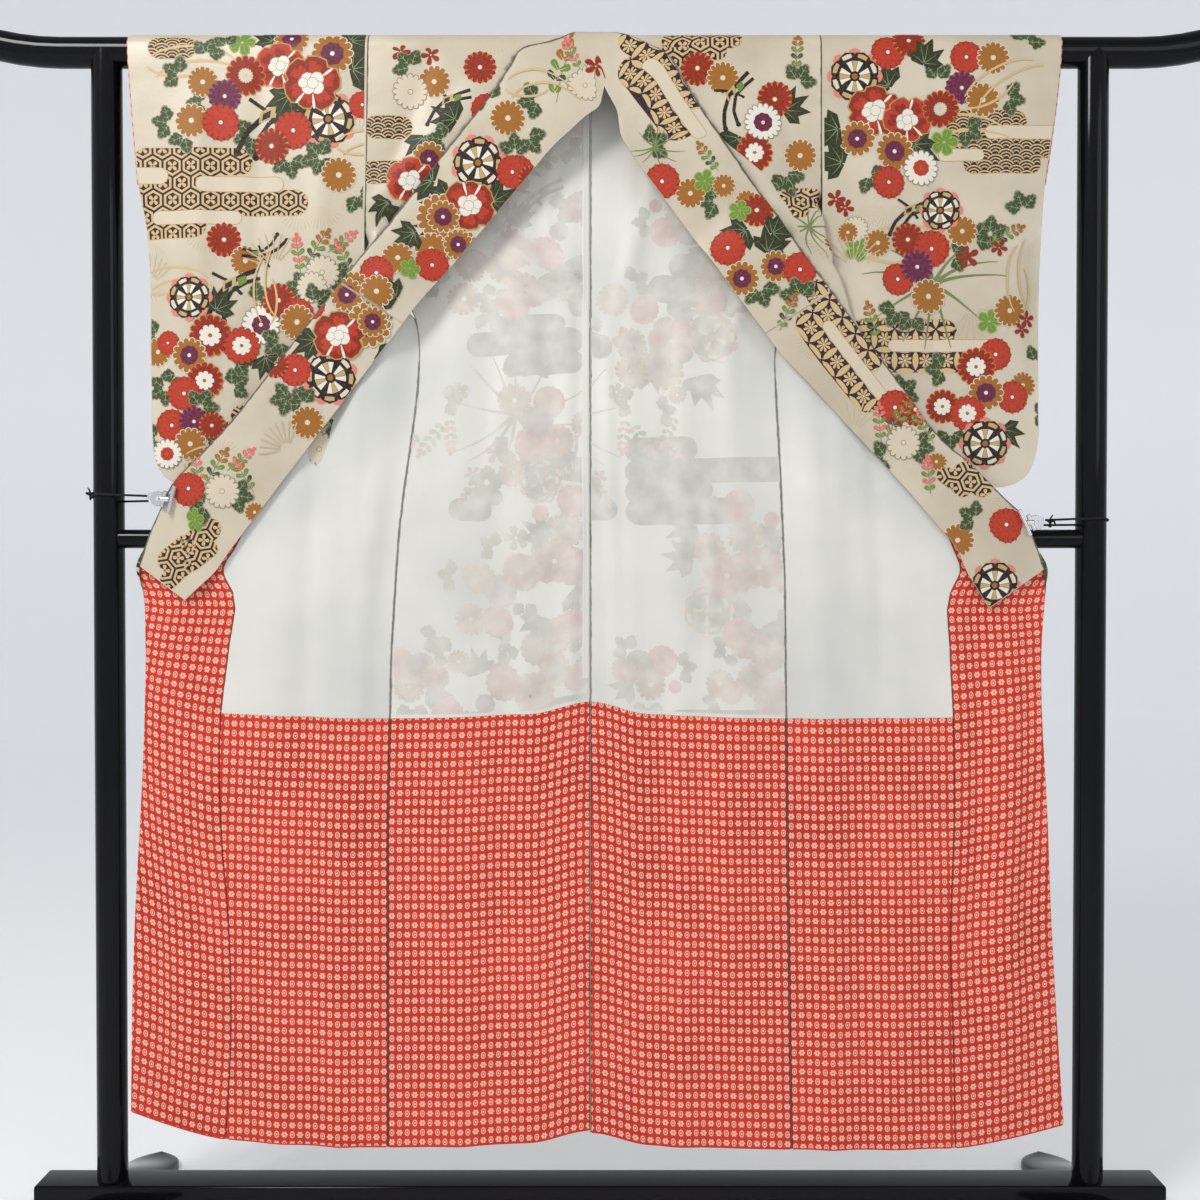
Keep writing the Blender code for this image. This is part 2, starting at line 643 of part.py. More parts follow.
def build_rack():
    bend = [BAR_STRAIGHT + (BAR_HALF - BAR_STRAIGHT) * k / 4 for k in range(5)]
    xs = [-x for x in reversed(bend)] + bend
    centres, frames, radius = [], [], []
    for x in xs:
        c = Vector(bar_centre(x))
        d = (Vector(bar_centre(x + 0.001)) - Vector(bar_centre(x - 0.001))).normalized()
        across = Vector((0, 1, 0))
        centres.append(c)
        frames.append((across, d.cross(across)))
        radius.append(BAR_R)
    rim = 0.003
    first = (Vector(centres[0]) - Vector(centres[1])).normalized()
    last = (Vector(centres[-1]) - Vector(centres[-2])).normalized()
    centres = [centres[0] + first * rim] + centres + [centres[-1] + last * rim]
    frames = [frames[0]] + frames + [frames[-1]]
    radius = [BAR_R - rim] + radius + [BAR_R - rim]
    ring_tube("top_bar", centres, frames, radius, "black_enamel")
    clear = 0.0001
    for side, word in ((LEFT, "left"), (RIGHT, "right")):
        x = side * POST_X
        post = straight_tube("post_" + word, (x, 0, RAIL_TOP + clear), (x, 0, BAR_Z), BAR_R, "black_enamel")
        across = (Vector((0, 1, 0)), Vector((0, 0, 1)))
        saddle = ring_tube("cut_bar_" + word, [(x - 0.05, 0, BAR_Z), (x + 0.05, 0, BAR_Z)], [across] * 2,
                           [BAR_R + clear] * 2, "black_enamel")
        cut(post, saddle)
        build_foot(word, x)
    rung = straight_tube("rung", (-POST_X, 0, RUNG_Z), (POST_X, 0, RUNG_Z), RUNG_R, "black_enamel", 16)
    for side, word in ((LEFT, "left"), (RIGHT, "right")):
        x = side * POST_X
        cope = straight_tube("cut_post_" + word, (x, 0, RUNG_Z - 0.05), (x, 0, RUNG_Z + 0.05), BAR_R + clear,
                             "black_enamel")
        cut(rung, cope)
    rail = box("base_rail", (-RAIL_HALF, -RAIL_HALF_DEPTH, RAIL_BOTTOM), (RAIL_HALF, RAIL_HALF_DEPTH, RAIL_TOP))
    shape = bmesh.new()
    shape.from_mesh(rail.data)
    bmesh.ops.dissolve_limit(shape, angle_limit=0.01, verts=shape.verts, edges=shape.edges)
    bmesh.ops.bevel(shape, geom=shape.edges[:], offset=RAIL_BEVEL, segments=1, affect="EDGES")
    shape.to_mesh(rail.data)
    shape.free()


def box(name, low, high):
    xs, ys, zs = zip(low, high)
    verts = [(x, y, z) for x in xs for y in ys for z in zs]
    faces = [(0, 1, 3, 2), (4, 6, 7, 5), (0, 4, 5, 1), (2, 3, 7, 6), (0, 2, 6, 4), (1, 5, 7, 3)]
    return make(name, verts, faces, "black_enamel")


def build_foot(word, x):
    """Low cross foot with round ends, higher in the middle, notched for the rail."""
    stations = [-0.200, -0.196, -0.186, -0.170, -0.130, -0.080, -0.035, 0.035, 0.080, 0.130, 0.170, 0.186, 0.196, 0.200]
    verts, faces = [], []
    edge = 0.006
    for y in stations:
        end = max(abs(y) - (FOOT_HALF_DEPTH - FOOT_HALF_WIDTH), 0.0) / FOOT_HALF_WIDTH
        half = max(FOOT_HALF_WIDTH * math.sqrt(max(1 - end * end, 0.0)), 0.010)
        share = min(max(abs(y) - 0.035, 0.0) / (FOOT_HALF_DEPTH - 0.035), 1.0)
        top = mix(FOOT_MID_TOP, FOOT_END_TOP, smooth(share))
        e = min(edge, half * 0.5, top * 0.4)
        verts += [(x - half, y, 0.0), (x + half, y, 0.0), (x + half, y, top - e), (x + half - e, y, top),
                  (x - half + e, y, top), (x - half, y, top - e)]
    n = 6
    for i in range(len(stations) - 1):
        for k in range(n):
            m = (k + 1) % n
            faces.append((i * n + k, i * n + m, (i + 1) * n + m, (i + 1) * n + k))
    faces.append(tuple(range(n)))
    faces.append(tuple((len(stations) - 1) * n + k for k in range(n)))
    foot = make("foot_" + word, verts, faces, "black_enamel")
    play = 0.0001
    notch = box("cut_rail_" + word, (x - 0.1, -RAIL_HALF_DEPTH - play, RAIL_BOTTOM - play),
                (x + 0.1, RAIL_HALF_DEPTH + play, RAIL_TOP + 0.01))
    cut(foot, notch)


# Clips and the cords that tie them to the posts: clip jaw x, z, clip end x, z, and where the cord meets the post
CLIPS = {
    LEFT: (-0.6035, 1.047, -0.6360, 1.049, 1.052),
    RIGHT: (0.5985, 1.0145, 0.6250, 1.015, 1.018),
}
CLIP_Y = -0.0420
CLIP_HALF_HEIGHT = 0.0195
CORD_R = 0.0016
CORD_START = 0.0015


def build_clip(side, word):
    """Flat sprung clip: a tapering plate with a wide jaw end and a narrower tail, standing before the collar edge."""
    jaw_x, jaw_z, end_x, end_z, _ = CLIPS[side]
    half = [CLIP_HALF_HEIGHT, CLIP_HALF_HEIGHT * 0.92, CLIP_HALF_HEIGHT * 0.55, CLIP_HALF_HEIGHT * 0.42]
    deep = [0.0018, 0.0030, 0.0040, 0.0030]
    verts, faces = [], []
    for k in range(4):
        t = k / 3
        x, z = mix(jaw_x, end_x, t), mix(jaw_z, end_z, t)
        h, d = half[k], deep[k]
        verts += [(x, CLIP_Y - d, z - h), (x, CLIP_Y + d, z - h), (x, CLIP_Y + d, z + h), (x, CLIP_Y - d, z + h)]
    for i in range(3):
        for k in range(4):
            m = (k + 1) % 4
            faces.append((i * 4 + k, i * 4 + m, (i + 1) * 4 + m, (i + 1) * 4 + k))
    faces.append((0, 1, 2, 3))
    faces.append((12, 13, 14, 15))
    make("clip_" + word, verts, faces, "clip_metal")


def build_cord(side, word):
    """Cord from the clip's tail round the post and back."""
    _, _, end_x, end_z, z_post = CLIPS[side]
    centre_x = side * POST_X
    turns = 9
    first, last = math.radians(-77), math.radians(132)
    loop = (BAR_R + CORD_R + GAP) / math.cos((last - first) / turns / 2)
    points = [Vector((end_x + side * CORD_START, CLIP_Y, end_z + 0.003))]
    for k in range(turns + 1):
        a = mix(first, last, k / turns)
        lift = mix(0.004, -0.004, k / turns)
        points.append(Vector((centre_x + side * loop * math.cos(a), loop * math.sin(a), z_post + lift)))
    points.append(Vector((end_x + side * CORD_START, CLIP_Y + 0.0012, end_z - 0.004)))
    frames = []
    for i, p in enumerate(points):
        d = (points[min(i + 1, len(points) - 1)] - points[max(i - 1, 0)]).normalized()
        up = Vector((0, 0, 1))
        flat = up.cross(d).normalized()
        frames.append((flat, d.cross(flat)))
    ring_tube("clip_cord_" + word, points, frames, [CORD_R] * len(points), "elastic_cord", 6)


def build_cloth():
    for side, word in ((LEFT, "left"), (RIGHT, "right")):
        rows = body_rows(side)
        grid, edges = body_grid(side, rows)
        n = normals(grid, edges, -side)
        split = rows.index(("front", OKUMI_TOP_Z[side]))
        sheet("body_" + word, grid, n, 0.0, "print_cloth", split)
        red_back = rows.index(("back", RED_ROW))
        red_front = rows.index(("front", RED_ROW))
        upper = trim(grid[red_back:red_front + 1], True, True, GAP / 2)
        sheet("lining_" + word, upper, n[red_back:red_front + 1], LINING_IN, "white_lining", split - red_back)
        low_back = trim(grid[:red_back + 1], False, True, GAP / 2)
        sheet("skirt_back_" + word, low_back, n[:red_back + 1], LINING_IN, "red_lining")
        low_front = trim(grid[red_front:], True, False, GAP / 2)
        sheet("skirt_front_" + word, low_front, n[red_front:], LINING_IN, "red_lining", 0)
        okumi, edges = okumi_grid(side)
        n = normals(okumi, edges, -side)
        sheet("okumi_" + word, okumi, n, 0.0, "print_cloth")
        sheet("okumi_lining_" + word, okumi, n, LINING_IN, "red_lining")
        sleeve, edges = share_grid(sleeve_rows(), SLEEVE_COLUMNS, lambda k, v, s: sleeve_point(side, k, v, s))
        sheet("sleeve_" + word, sleeve, normals(sleeve, edges, side), 0.0, "print_cloth")
        mouth = [r for r in sleeve_rows() if r[0] == "arc" or r[1] > BAR_Z - SLEEVE_MOUTH + 0.02]
        cuff, edges = share_grid(mouth, 3, lambda k, v, s: cuff_point(side, k, v, s))
        sheet("cuff_lining_" + word, cuff, normals(cuff, edges, side), LINING_IN, "red_lining")
        build_clip(side, word)
        build_cord(side, word)
    collar, edges = collar_grid()
    n = normals(collar, edges, -1)
    sheet("collar", collar, n, 0.0, "print_cloth")
    ends = [OVER_COLLAR_END[LEFT if row[0][0] < CENTRE_X else RIGHT] for row in collar]
    keep = [i for i, row in enumerate(collar) if row[0][2] > ends[i]]
    part = slice(keep[0], keep[-1] + 1)
    sheet("over_collar", collar[part], n[part], OVER_OUT, "print_cloth")


build_rack()
build_cloth()
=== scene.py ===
"""Looks of the lined silk kimono on its rack: finer cloth on the solids' forms, print, linings,
stitches and light."""

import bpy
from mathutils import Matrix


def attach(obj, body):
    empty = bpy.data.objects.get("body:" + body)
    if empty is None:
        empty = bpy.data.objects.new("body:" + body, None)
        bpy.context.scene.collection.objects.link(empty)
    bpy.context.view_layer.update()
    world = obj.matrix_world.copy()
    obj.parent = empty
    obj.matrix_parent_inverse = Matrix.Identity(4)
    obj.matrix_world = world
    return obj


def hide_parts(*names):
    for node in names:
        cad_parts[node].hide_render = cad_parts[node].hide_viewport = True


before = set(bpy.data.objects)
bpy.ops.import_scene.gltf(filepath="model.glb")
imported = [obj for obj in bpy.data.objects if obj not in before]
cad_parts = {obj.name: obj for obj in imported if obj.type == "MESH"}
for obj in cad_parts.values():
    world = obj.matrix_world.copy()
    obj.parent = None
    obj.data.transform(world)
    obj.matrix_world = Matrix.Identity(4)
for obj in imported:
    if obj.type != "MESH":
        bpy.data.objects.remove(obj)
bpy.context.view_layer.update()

import math

import bmesh
import bpy
import numpy as np
from mathutils import Vector



LEFT, RIGHT = -1, 1
SIDES = ((LEFT, "left"), (RIGHT, "right"))
# Rack sizes
BAR_Z = 1.690
BAR_R = 0.02135
BAR_HALF = 0.925
BAR_STRAIGHT = 0.770
BAR_END_RISE = 0.030
POST_X = 0.708
RUNG_Z = 0.993
RUNG_R = 0.0136
RAIL_HALF = 0.812
RAIL_HALF_DEPTH = 0.0275
RAIL_TOP = 0.065
RAIL_BOTTOM = 0.020
FOOT_HALF_WIDTH = 0.040
FOOT_HALF_DEPTH = 0.200
FOOT_MID_TOP = 0.048
FOOT_END_TOP = 0.012
# Cloth sizes
CLOTH = 0.001
GAP = 0.0003
WRAP_R = BAR_R + GAP + CLOTH + GAP + CLOTH / 2
LINING_IN = -(CLOTH + GAP)
OVER_OUT = CLOTH + GAP
QUARTER = math.pi / 2 * WRAP_R
CENTRE_X = -0.014
WRAP_STEP = math.radians(18) * WRAP_R
NECK_S = -WRAP_STEP
COLLAR_LIFT = 0.0012
FOLD_R = 0.0035
TURN_LENGTH = math.pi * FOLD_R
TURN_REST = 0.010
SEAM_REST = 0.0010
EDGE_EASE = 1.7
OKUMI_TOP_GAP = 0.0009
SLEEVE_CLEAR = 0.005
SLEEVE_BOTTOM_Z = 1.066
SLEEVE_FALL = 0.62
UNROLL = 0.045
SLEEVE_BACK = 0.003
BACK_FALL = 0.66
BACK_FORWARD = 0.0165
SEAM_TURN = 0.0055
SLEEVE_MOUTH = 0.230
CUFF_STRIP = 0.018
RED_ROW = 0.7355
REACH_POINTS = 30
BEND_POINTS = 13
BEND_MARKS = (REACH_POINTS, REACH_POINTS + BEND_POINTS // 2, REACH_POINTS + BEND_POINTS - 1)
BODY_COLUMNS = 10
SEAM_COLUMN = 5
FINE = 5
PIT_SPREAD = 0.003
OKUMI_COLUMNS = 6
COLLAR_COLUMNS = 6
SLEEVE_COLUMNS = 7
# Side edge of back and front, sewn to the sleeve down to joint_end, open to pit_end, then the side seam
SIDE = {
    LEFT: [(0.100, -0.305), (0.615, -0.304), (0.862, -0.297), (1.017, -0.286), (1.105, -0.274),
           (1.193, -0.261), (1.255, -0.259), (1.309, -0.266), (1.437, -0.334), (1.720, -0.329)],
    RIGHT: [(0.100, 0.276), (0.281, 0.273), (0.615, 0.268), (0.935, 0.264), (1.101, 0.257),
            (1.193, 0.252), (1.273, 0.253), (1.494, 0.315), (1.720, 0.314)],
}
JOINT_END = {LEFT: 1.437, RIGHT: 1.494}
PIT_END = {LEFT: 1.309, RIGHT: 1.273}
SLEEVE_IN = {LEFT: -0.3345, RIGHT: 0.3155}
# Outer edge of the collar and its free edge, in pairs from the neck to the end: x and z of each
COLLAR = {
    LEFT: [(-0.055, 1.6992, 0.000, 1.605), (-0.106, 1.683, -0.021, 1.590), (-0.124, 1.657, -0.043, 1.570),
           (-0.141, 1.630, -0.062, 1.553), (-0.282, 1.452, -0.196, 1.396), (-0.343, 1.374, -0.259, 1.321),
           (-0.523, 1.148, -0.439, 1.087), (-0.602, 1.065, -0.517, 0.985), (-0.632, 1.000, -0.545, 0.946),
           (-0.654, 0.952, -0.591, 0.903)],
    RIGHT: [(0.048, 1.6992, 0.024, 1.600), (0.093, 1.672, 0.031, 1.560), (0.125, 1.619, 0.045, 1.537),
            (0.282, 1.392, 0.193, 1.336), (0.343, 1.309, 0.255, 1.254), (0.479, 1.129, 0.423, 1.074),
            (0.520, 1.095, 0.457, 1.036), (0.571, 1.044, 0.504, 0.980), (0.597, 1.019, 0.521, 0.943),
            (0.631, 0.948, 0.553, 0.892)],
}
COLLAR_CENTRE_FREE = (0.006, 1.632)
COLLAR_END = {LEFT: 0.952, RIGHT: 0.948}
OVER_COLLAR_END = {LEFT: 1.330, RIGHT: 1.312}
# Outermost line of the rolled-back front edge, where it stands clear of the collar: z, x
ROLL = {
    LEFT: [(1.326, -0.382), (1.352, -0.361), (1.383, -0.344), (1.410, -0.3325), (1.437, -0.3300)],
    RIGHT: [(1.138, 0.476), (1.189, 0.442), (1.238, 0.399), (1.268, 0.381), (1.300, 0.362),
            (1.344, 0.344), (1.414, 0.320), (1.465, 0.3145), (1.494, 0.3130)],
}
# Okumi seam below the collar, and the free front edge: z, x
OKUMI_SEAM = {
    LEFT: [(0.100, -0.540), (0.288, -0.529), (0.399, -0.529), (0.534, -0.541), (0.619, -0.545),
           (0.754, -0.542), (0.798, -0.537), (0.862, -0.526), (0.928, -0.520), (1.016, -0.508)],
    RIGHT: [(0.100, 0.511), (0.326, 0.506), (0.473, 0.501), (0.619, 0.509), (0.754, 0.505),
            (0.827, 0.500), (0.899, 0.497), (0.986, 0.495)],
}
FREE_EDGE = {
    LEFT: [(0.150, -0.674), (0.253, -0.674), (0.400, -0.669), (0.492, -0.665), (0.619, -0.657),
           (0.754, -0.651), (0.862, -0.649), (0.935, -0.647), (0.952, -0.652)],
    RIGHT: [(0.120, 0.669), (0.253, 0.659), (0.381, 0.651), (0.492, 0.645), (0.619, 0.640),
            (0.681, 0.637), (0.772, 0.631), (0.930, 0.631), (0.948, 0.634)],
}
KENSAKI_Z = {LEFT: 1.462, RIGHT: 1.475}
OKUMI_TOP_Z = {LEFT: 1.326, RIGHT: 1.273}
HEM_Z = {LEFT: 0.1185, RIGHT: 0.1155}
FRONT_RISE = {LEFT: (0.012, 0.052), RIGHT: (0.002, 0.036)}
# Outer edge of the sleeve: z, x
SLEEVE_OUT = {
    LEFT: [(1.066, -0.590), (1.072, -0.608), (1.086, -0.627), (1.105, -0.635), (1.134, -0.639),
           (1.262, -0.642), (1.418, -0.644), (1.489, -0.655), (1.617, -0.665), (1.720, -0.671)],
    RIGHT: [(1.066, 0.575), (1.072, 0.595), (1.084, 0.610), (1.105, 0.620), (1.134, 0.626),
            (1.262, 0.626), (1.492, 0.631), (1.610, 0.648), (1.720, 0.656)],
}
# Heights of the body's rows, up the back and down the front
BACK_LEVELS = {
    LEFT: (0.1185, 0.26, 0.42, 0.58, 0.7355, 0.84, 0.93, 1.00, 1.065, 1.148, 1.23, 1.309, 1.37, 1.437,
           1.52, 1.61),
    RIGHT: (0.1155, 0.26, 0.42, 0.58, 0.7355, 0.84, 0.93, 1.00, 1.07, 1.129, 1.20, 1.273, 1.37, 1.437,
            1.494, 1.59),
}
FRONT_LEVELS = {
    LEFT: (1.683, 1.657, 1.630, 1.575, 1.52, 1.475, 1.452, 1.437, 1.426, 1.415, 1.403, 1.390, 1.374, 1.350,
           1.326, 1.309, 1.23, 1.148, 1.105, 1.065, 1.03, 1.000, 0.976, 0.9525, 0.942, 0.93, 0.915),
    RIGHT: (1.672, 1.645, 1.619, 1.565, 1.52, 1.494, 1.482, 1.470, 1.457, 1.440, 1.417, 1.392, 1.366, 1.338,
            1.309, 1.273, 1.20, 1.129, 1.095, 1.07, 1.044, 1.019, 1.00, 0.975, 0.9485, 0.938, 0.93, 0.915),
}
# Soft upright folds of the back, seen from inside: x, width, depth towards the viewer, top z, bottom z
BACK_FOLDS = [
    (-0.200, 0.030, 0.006, 1.45, 0.10), (-0.110, 0.022, 0.005, 1.60, 0.75),
    (-0.045, 0.016, 0.004, 1.62, 0.60), (0.045, 0.016, 0.004, 1.62, 0.55),
    (0.115, 0.024, 0.006, 1.50, 0.10), (0.195, 0.026, 0.005, 1.40, 0.30),
]
# The same of the opened fronts
FRONT_FOLDS = [
    (-0.590, 0.022, 0.006, 0.90, 0.20), (-0.460, 0.030, 0.005, 0.95, 0.10),
    (-0.375, 0.026, 0.006, 0.95, 0.10), (0.335, 0.024, 0.006, 0.95, 0.10),
    (0.425, 0.030, 0.005, 0.95, 0.10), (0.575, 0.022, 0.006, 0.90, 0.20),
]


def smooth(value):
    t = min(max(value, 0.0), 1.0)
    return t * t * (3 - 2 * t)


def mix(a, b, t):
    return a + (b - a) * t


def look(rows, z):
    return float(np.interp(z, [r[0] for r in rows], [r[1] for r in rows]))


def hang(s):
    """Y and Z of a cloth laid over the bar, s metres from its top, forwards above zero."""
    angle = min(max(s / WRAP_R, -math.pi / 2), math.pi / 2)
    drop = max(abs(s) - QUARTER, 0.0)
    return -WRAP_R * math.sin(angle), BAR_Z + WRAP_R * math.cos(angle) - drop


def length_at(z):
    return QUARTER + BAR_Z - z


def back_y(z):
    return WRAP_R - (WRAP_R + BACK_FORWARD) * smooth((BAR_Z - z) / BACK_FALL)


def sleeve_front_y(z):
    return -WRAP_R + SLEEVE_BACK * smooth((BAR_Z - z) / SLEEVE_FALL)


def folds(rows, x, z):
    total = 0.0
    for centre, width, depth, top, bottom in rows:
        fade = smooth((top - z) / 0.25) * smooth((z - bottom) / 0.10 + 0.5)
        total += depth * fade * math.exp(-(((x - centre) / width) ** 2))
    return total


def clear_rung(z):
    """Folds start flat where the cloth rests on the rung."""
    return 1.0 - 0.6 * math.exp(-(((z - RUNG_Z) / 0.05) ** 2))


def side_seam(side, z):
    """X and Y of the side edge, straight between the back's rows so that both sides of the seam agree."""
    levels = BACK_LEVELS[side]
    if z > PIT_END[side]:
        return look(SIDE[side], z), back_y(z)
    return (float(np.interp(z, levels, [look(SIDE[side], v) for v in levels])),
            float(np.interp(z, levels, [back_y(v) for v in levels])))


def front_edge_x(side, z):
    """Collar seam above the collar's end, free edge below it."""
    if z < COLLAR_END[side]:
        return look(FREE_EDGE[side], z)
    rows = [(p[1], p[0]) for p in reversed(COLLAR[side])]
    if z <= rows[-1][0]:
        return look(rows, z)
    return rows[-1][1]


def roll_x(side, z):
    edge = front_edge_x(side, z) + side * SEAM_TURN
    rows = ROLL[side]
    if z < rows[0][0]:
        return edge
    return side * max(side * look(rows, z), side * edge)


def front_depth(side, z):
    """Y of the opened front where it passes before the sleeve, and of the flat front below it."""
    layer = sleeve_front_y(z) - SLEEVE_CLEAR
    return mix(layer, back_y(z) - 0.001, smooth((1.05 - z) / 0.30))


def unroll(side, z):
    """One where the front edge is rolled, none a little below the collar's end."""
    return smooth((z - COLLAR_END[side] + UNROLL) / UNROLL)


def curl(x, y, side, angle, rear):
    """A bend of fixed length: starts at x, y heading outwards, turns to the rear or the front."""
    points = []
    for k in range(BEND_POINTS):
        a = max(angle, 0.01) * k / (BEND_POINTS - 1)
        radius = TURN_LENGTH / max(angle, 0.01)
        points.append((x + side * radius * math.sin(a), y + rear * radius * (1 - math.cos(a))))
    return points


def front_path(side, z):
    """Plan of the front at height z, from the side edge to the collar seam or free edge: list of (x, y)."""
    xa, y_seam = side_seam(side, z)
    xf = front_edge_x(side, z)
    joint, pit = JOINT_END[side], PIT_END[side]
    opened = smooth((joint - z) / 0.055)
    sewn = 1.0
    if z > COLLAR_END[side]:
        y_front = mix(sleeve_front_y(z), front_depth(side, z) - 2 * FOLD_R, opened)
        x_joint = look(SIDE[side], max(z, joint)) - side * (TURN_LENGTH + TURN_REST)
        tip = mix(x_joint, roll_x(side, z) - side * FOLD_R, opened)
        angle = math.pi * opened
        bend = curl(tip, y_front, side, angle, 1)[::-1]
        xe, ye = bend[0]
        free = (xe + side * TURN_REST * math.cos(angle), ye + TURN_REST * math.sin(angle))
        sewn = smooth((joint - 0.02 - z) / (joint - 0.02 - pit))
        spread = PIT_SPREAD * smooth((z - pit) / 0.015)
        xa, ya = mix(free[0], xa + side * spread, sewn), mix(free[1], y_seam, sewn)
        tail = [(mix(tip, xf, k / 2), y_front) for k in range(1, 3)]
    else:
        turned = unroll(side, z)
        x_rolled = front_edge_x(side, COLLAR_END[side] + 1e-6) + side * (SEAM_TURN - FOLD_R)
        xe = mix(xf - side * (TURN_LENGTH + 2 * SEAM_REST), x_rolled, turned)
        ye = front_depth(side, z)
        ya = y_seam
        angle = math.pi * turned
        bend = curl(xe, ye, side, angle, -1)
        bx, by = bend[-1]
        ends = [(bx + side * SEAM_REST * k * math.cos(angle), by - SEAM_REST * k * math.sin(angle))
                for k in (1, 2)]
        tail = ends
    length = max(math.hypot(xe - xa, ye - ya), 1e-6)
    run = max(abs(xa - SLEEVE_IN[side]) - 0.006, 0.002)
    run = min(mix(min(run, 0.056), 0.10, smooth((1.02 - z) / 0.20)) / length, 1.0)
    run = mix(1.0, run, smooth(sewn / 0.3))
    shares = [(i / REACH_POINTS) ** EDGE_EASE for i in range(REACH_POINTS)]
    first = [(mix(xa, xe, t), mix(ya, ye, smooth(t / run))) for t in shares]
    return first + bend + tail


def along(path):
    steps = [0.0]
    for a, b in zip(path, path[1:]):
        steps.append(steps[-1] + math.hypot(b[0] - a[0], b[1] - a[1]))
    return steps


def path_point(path, steps, s):
    return (float(np.interp(s, steps, [p[0] for p in path])),
            float(np.interp(s, steps, [p[1] for p in path])))


def okumi_width(side, z):
    """Cloth width of the okumi at height z."""
    full_z = 1.00
    seam = look(OKUMI_SEAM[side], min(z, full_z))
    width_low = abs(front_edge_x(side, min(z, 0.93)) - seam)
    path = front_path(side, full_z)
    width_full = along(path)[-1] - abs(look(OKUMI_SEAM[side], full_z) - path[0][0])
    if z >= full_z:
        return max(width_full * (KENSAKI_Z[side] - z) / (KENSAKI_Z[side] - full_z), 0.0)
    return mix(width_full, width_low, smooth((full_z - z) / 0.08))


def body_stations(side, z):
    """Distances from the side edge of the body's columns, with the plan they run along."""
    path = front_path(side, z)
    steps = along(path)
    seam = steps[-1] - okumi_width(side, z)
    even = np.linspace(0.0, steps[-1], BODY_COLUMNS)
    seam = min(seam, steps[BEND_MARKS[0]] - 0.004)
    bends = [steps[k] for k in BEND_MARKS]
    locked = np.array(list(np.linspace(0.0, seam, SEAM_COLUMN + 1)) + bends + [steps[-1]])
    lock = smooth((JOINT_END[side] + 0.06 - z) / 0.06)
    return path, steps, even * (1 - lock) + locked * lock


def okumi_stations(side, z):
    path = front_path(side, z)
    steps = along(path)
    start = steps[-1] - okumi_width(side, z)
    even = np.linspace(start, steps[-1], OKUMI_COLUMNS)
    tail = 0.0010
    a, b, c = [max(steps[k], start + n * tail) for k, n in zip(BEND_MARKS, (2, 3, 4))]
    locked = np.array([start, mix(start, a, 0.5), a, b, c, steps[-1]])
    lock = smooth((z - COLLAR_END[side] + 0.12) / 0.05)
    return path, steps, even * (1 - lock) + locked * lock


def front_rise(side, share, z):
    """The cloth's lift at a share 0..1 from the side seam to the okumi seam, 1..2 on the okumi."""
    seam, edge = FRONT_RISE[side]
    value = seam * min(share, 1.0) ** 1.5 + (edge - seam) * max(share - 1.0, 0.0) ** 1.3
    return value * smooth((1.00 - z) / 0.45)


def front_point(side, z, station, part):
    """One point of the front at level z and column station, part 'body' or 'okumi'."""
    columns = BODY_COLUMNS if part == "body" else OKUMI_COLUMNS
    share = station / (columns - 1) + 1.0 if part == "okumi" else station / SEAM_COLUMN
    level = z + front_rise(side, share, z)
    pick = body_stations if part == "body" else okumi_stations
    path, steps, marks = pick(side, level)
    first, last = marks[0], marks[SEAM_COLUMN if part == "body" and z <= OKUMI_TOP_Z[side] else -1]
    inset = GAP / 2
    s = float(np.interp(station, range(columns), marks))
    if station <= (SEAM_COLUMN if part == "body" and z <= OKUMI_TOP_Z[side] else columns):
        s = min(max(s, first + inset), last - inset)
    x, y = path_point(path, steps, s)
    return x, y - folds(FRONT_FOLDS, x, level) * clear_rung(level), level


def neck_x(side, s):
    """The body's inner edge over the bar: centre seam behind, collar seam in front."""
    first = COLLAR[side][0]
    s0 = NECK_S
    s1 = length_at(first[1]) if first[1] < BAR_Z else WRAP_R * math.acos((first[1] - BAR_Z) / WRAP_R)
    if s <= s0:
        return CENTRE_X
    if s < s1:
        return mix(CENTRE_X, first[0], (s - s0) / (s1 - s0))
    rows = [(s1, first[0])] + [(length_at(p[1]), p[0]) for p in COLLAR[side][1:3]]
    return look(rows, s)


def body_rows(side):
    """Rows of a body width from the back hem over the bar to the front hem: (kind, level)."""
    rows = [("back", z) for z in BACK_LEVELS[side]]
    rows += [("arc", WRAP_STEP * k) for k in range(-5, 6)]
    rows += [("front", z) for z in FRONT_LEVELS[side]]
    rows += [("front", z) for z in (0.84, RED_ROW, 0.58, 0.42, 0.26, HEM_Z[side])]
    return rows


def back_rise(side, share, z):
    """The cloth is lifted towards the centre seam, share 0 at the side and 1 at the centre."""
    return (0.008 * smooth(share) + 0.016 * smooth((share - 0.70) / 0.30)) * smooth((1.15 - z) / 0.40)


def body_point(side, kind, level, share):
    """A point of the body's back or over the bar, share 0 at the side and 1 at the inner edge."""
    if kind == "back":
        z = level + back_rise(side, share, level)
        x_side, _ = side_seam(side, z)
        x = mix(x_side - side * GAP / 2, CENTRE_X + side * GAP / 2, share)
        return (x, back_y(z) - folds(BACK_FOLDS, x, z) * clear_rung(z), z)
    y, z = hang(level)
    outer = look(SIDE[side], z) - side * GAP / 2
    inner = CENTRE_X + side * GAP / 2 if level < NECK_S else neck_x(side, level) + side * GAP
    return (mix(outer, inner, share), y, z)


def front_grid(side, rows, part):
    columns = BODY_COLUMNS if part == "body" else OKUMI_COLUMNS
    stations = [c / FINE for c in range((columns - 1) * FINE + 1)]
    return np.array([[front_point(side, z, c, part) for c in stations] for _, z in rows])


def share_grid(rows, columns, place):
    """Grid of place(kind, level, share)."""
    last = (columns - 1) * FINE
    return np.array([[place(k, v, c / last) for c in range(last + 1)] for k, v in rows])


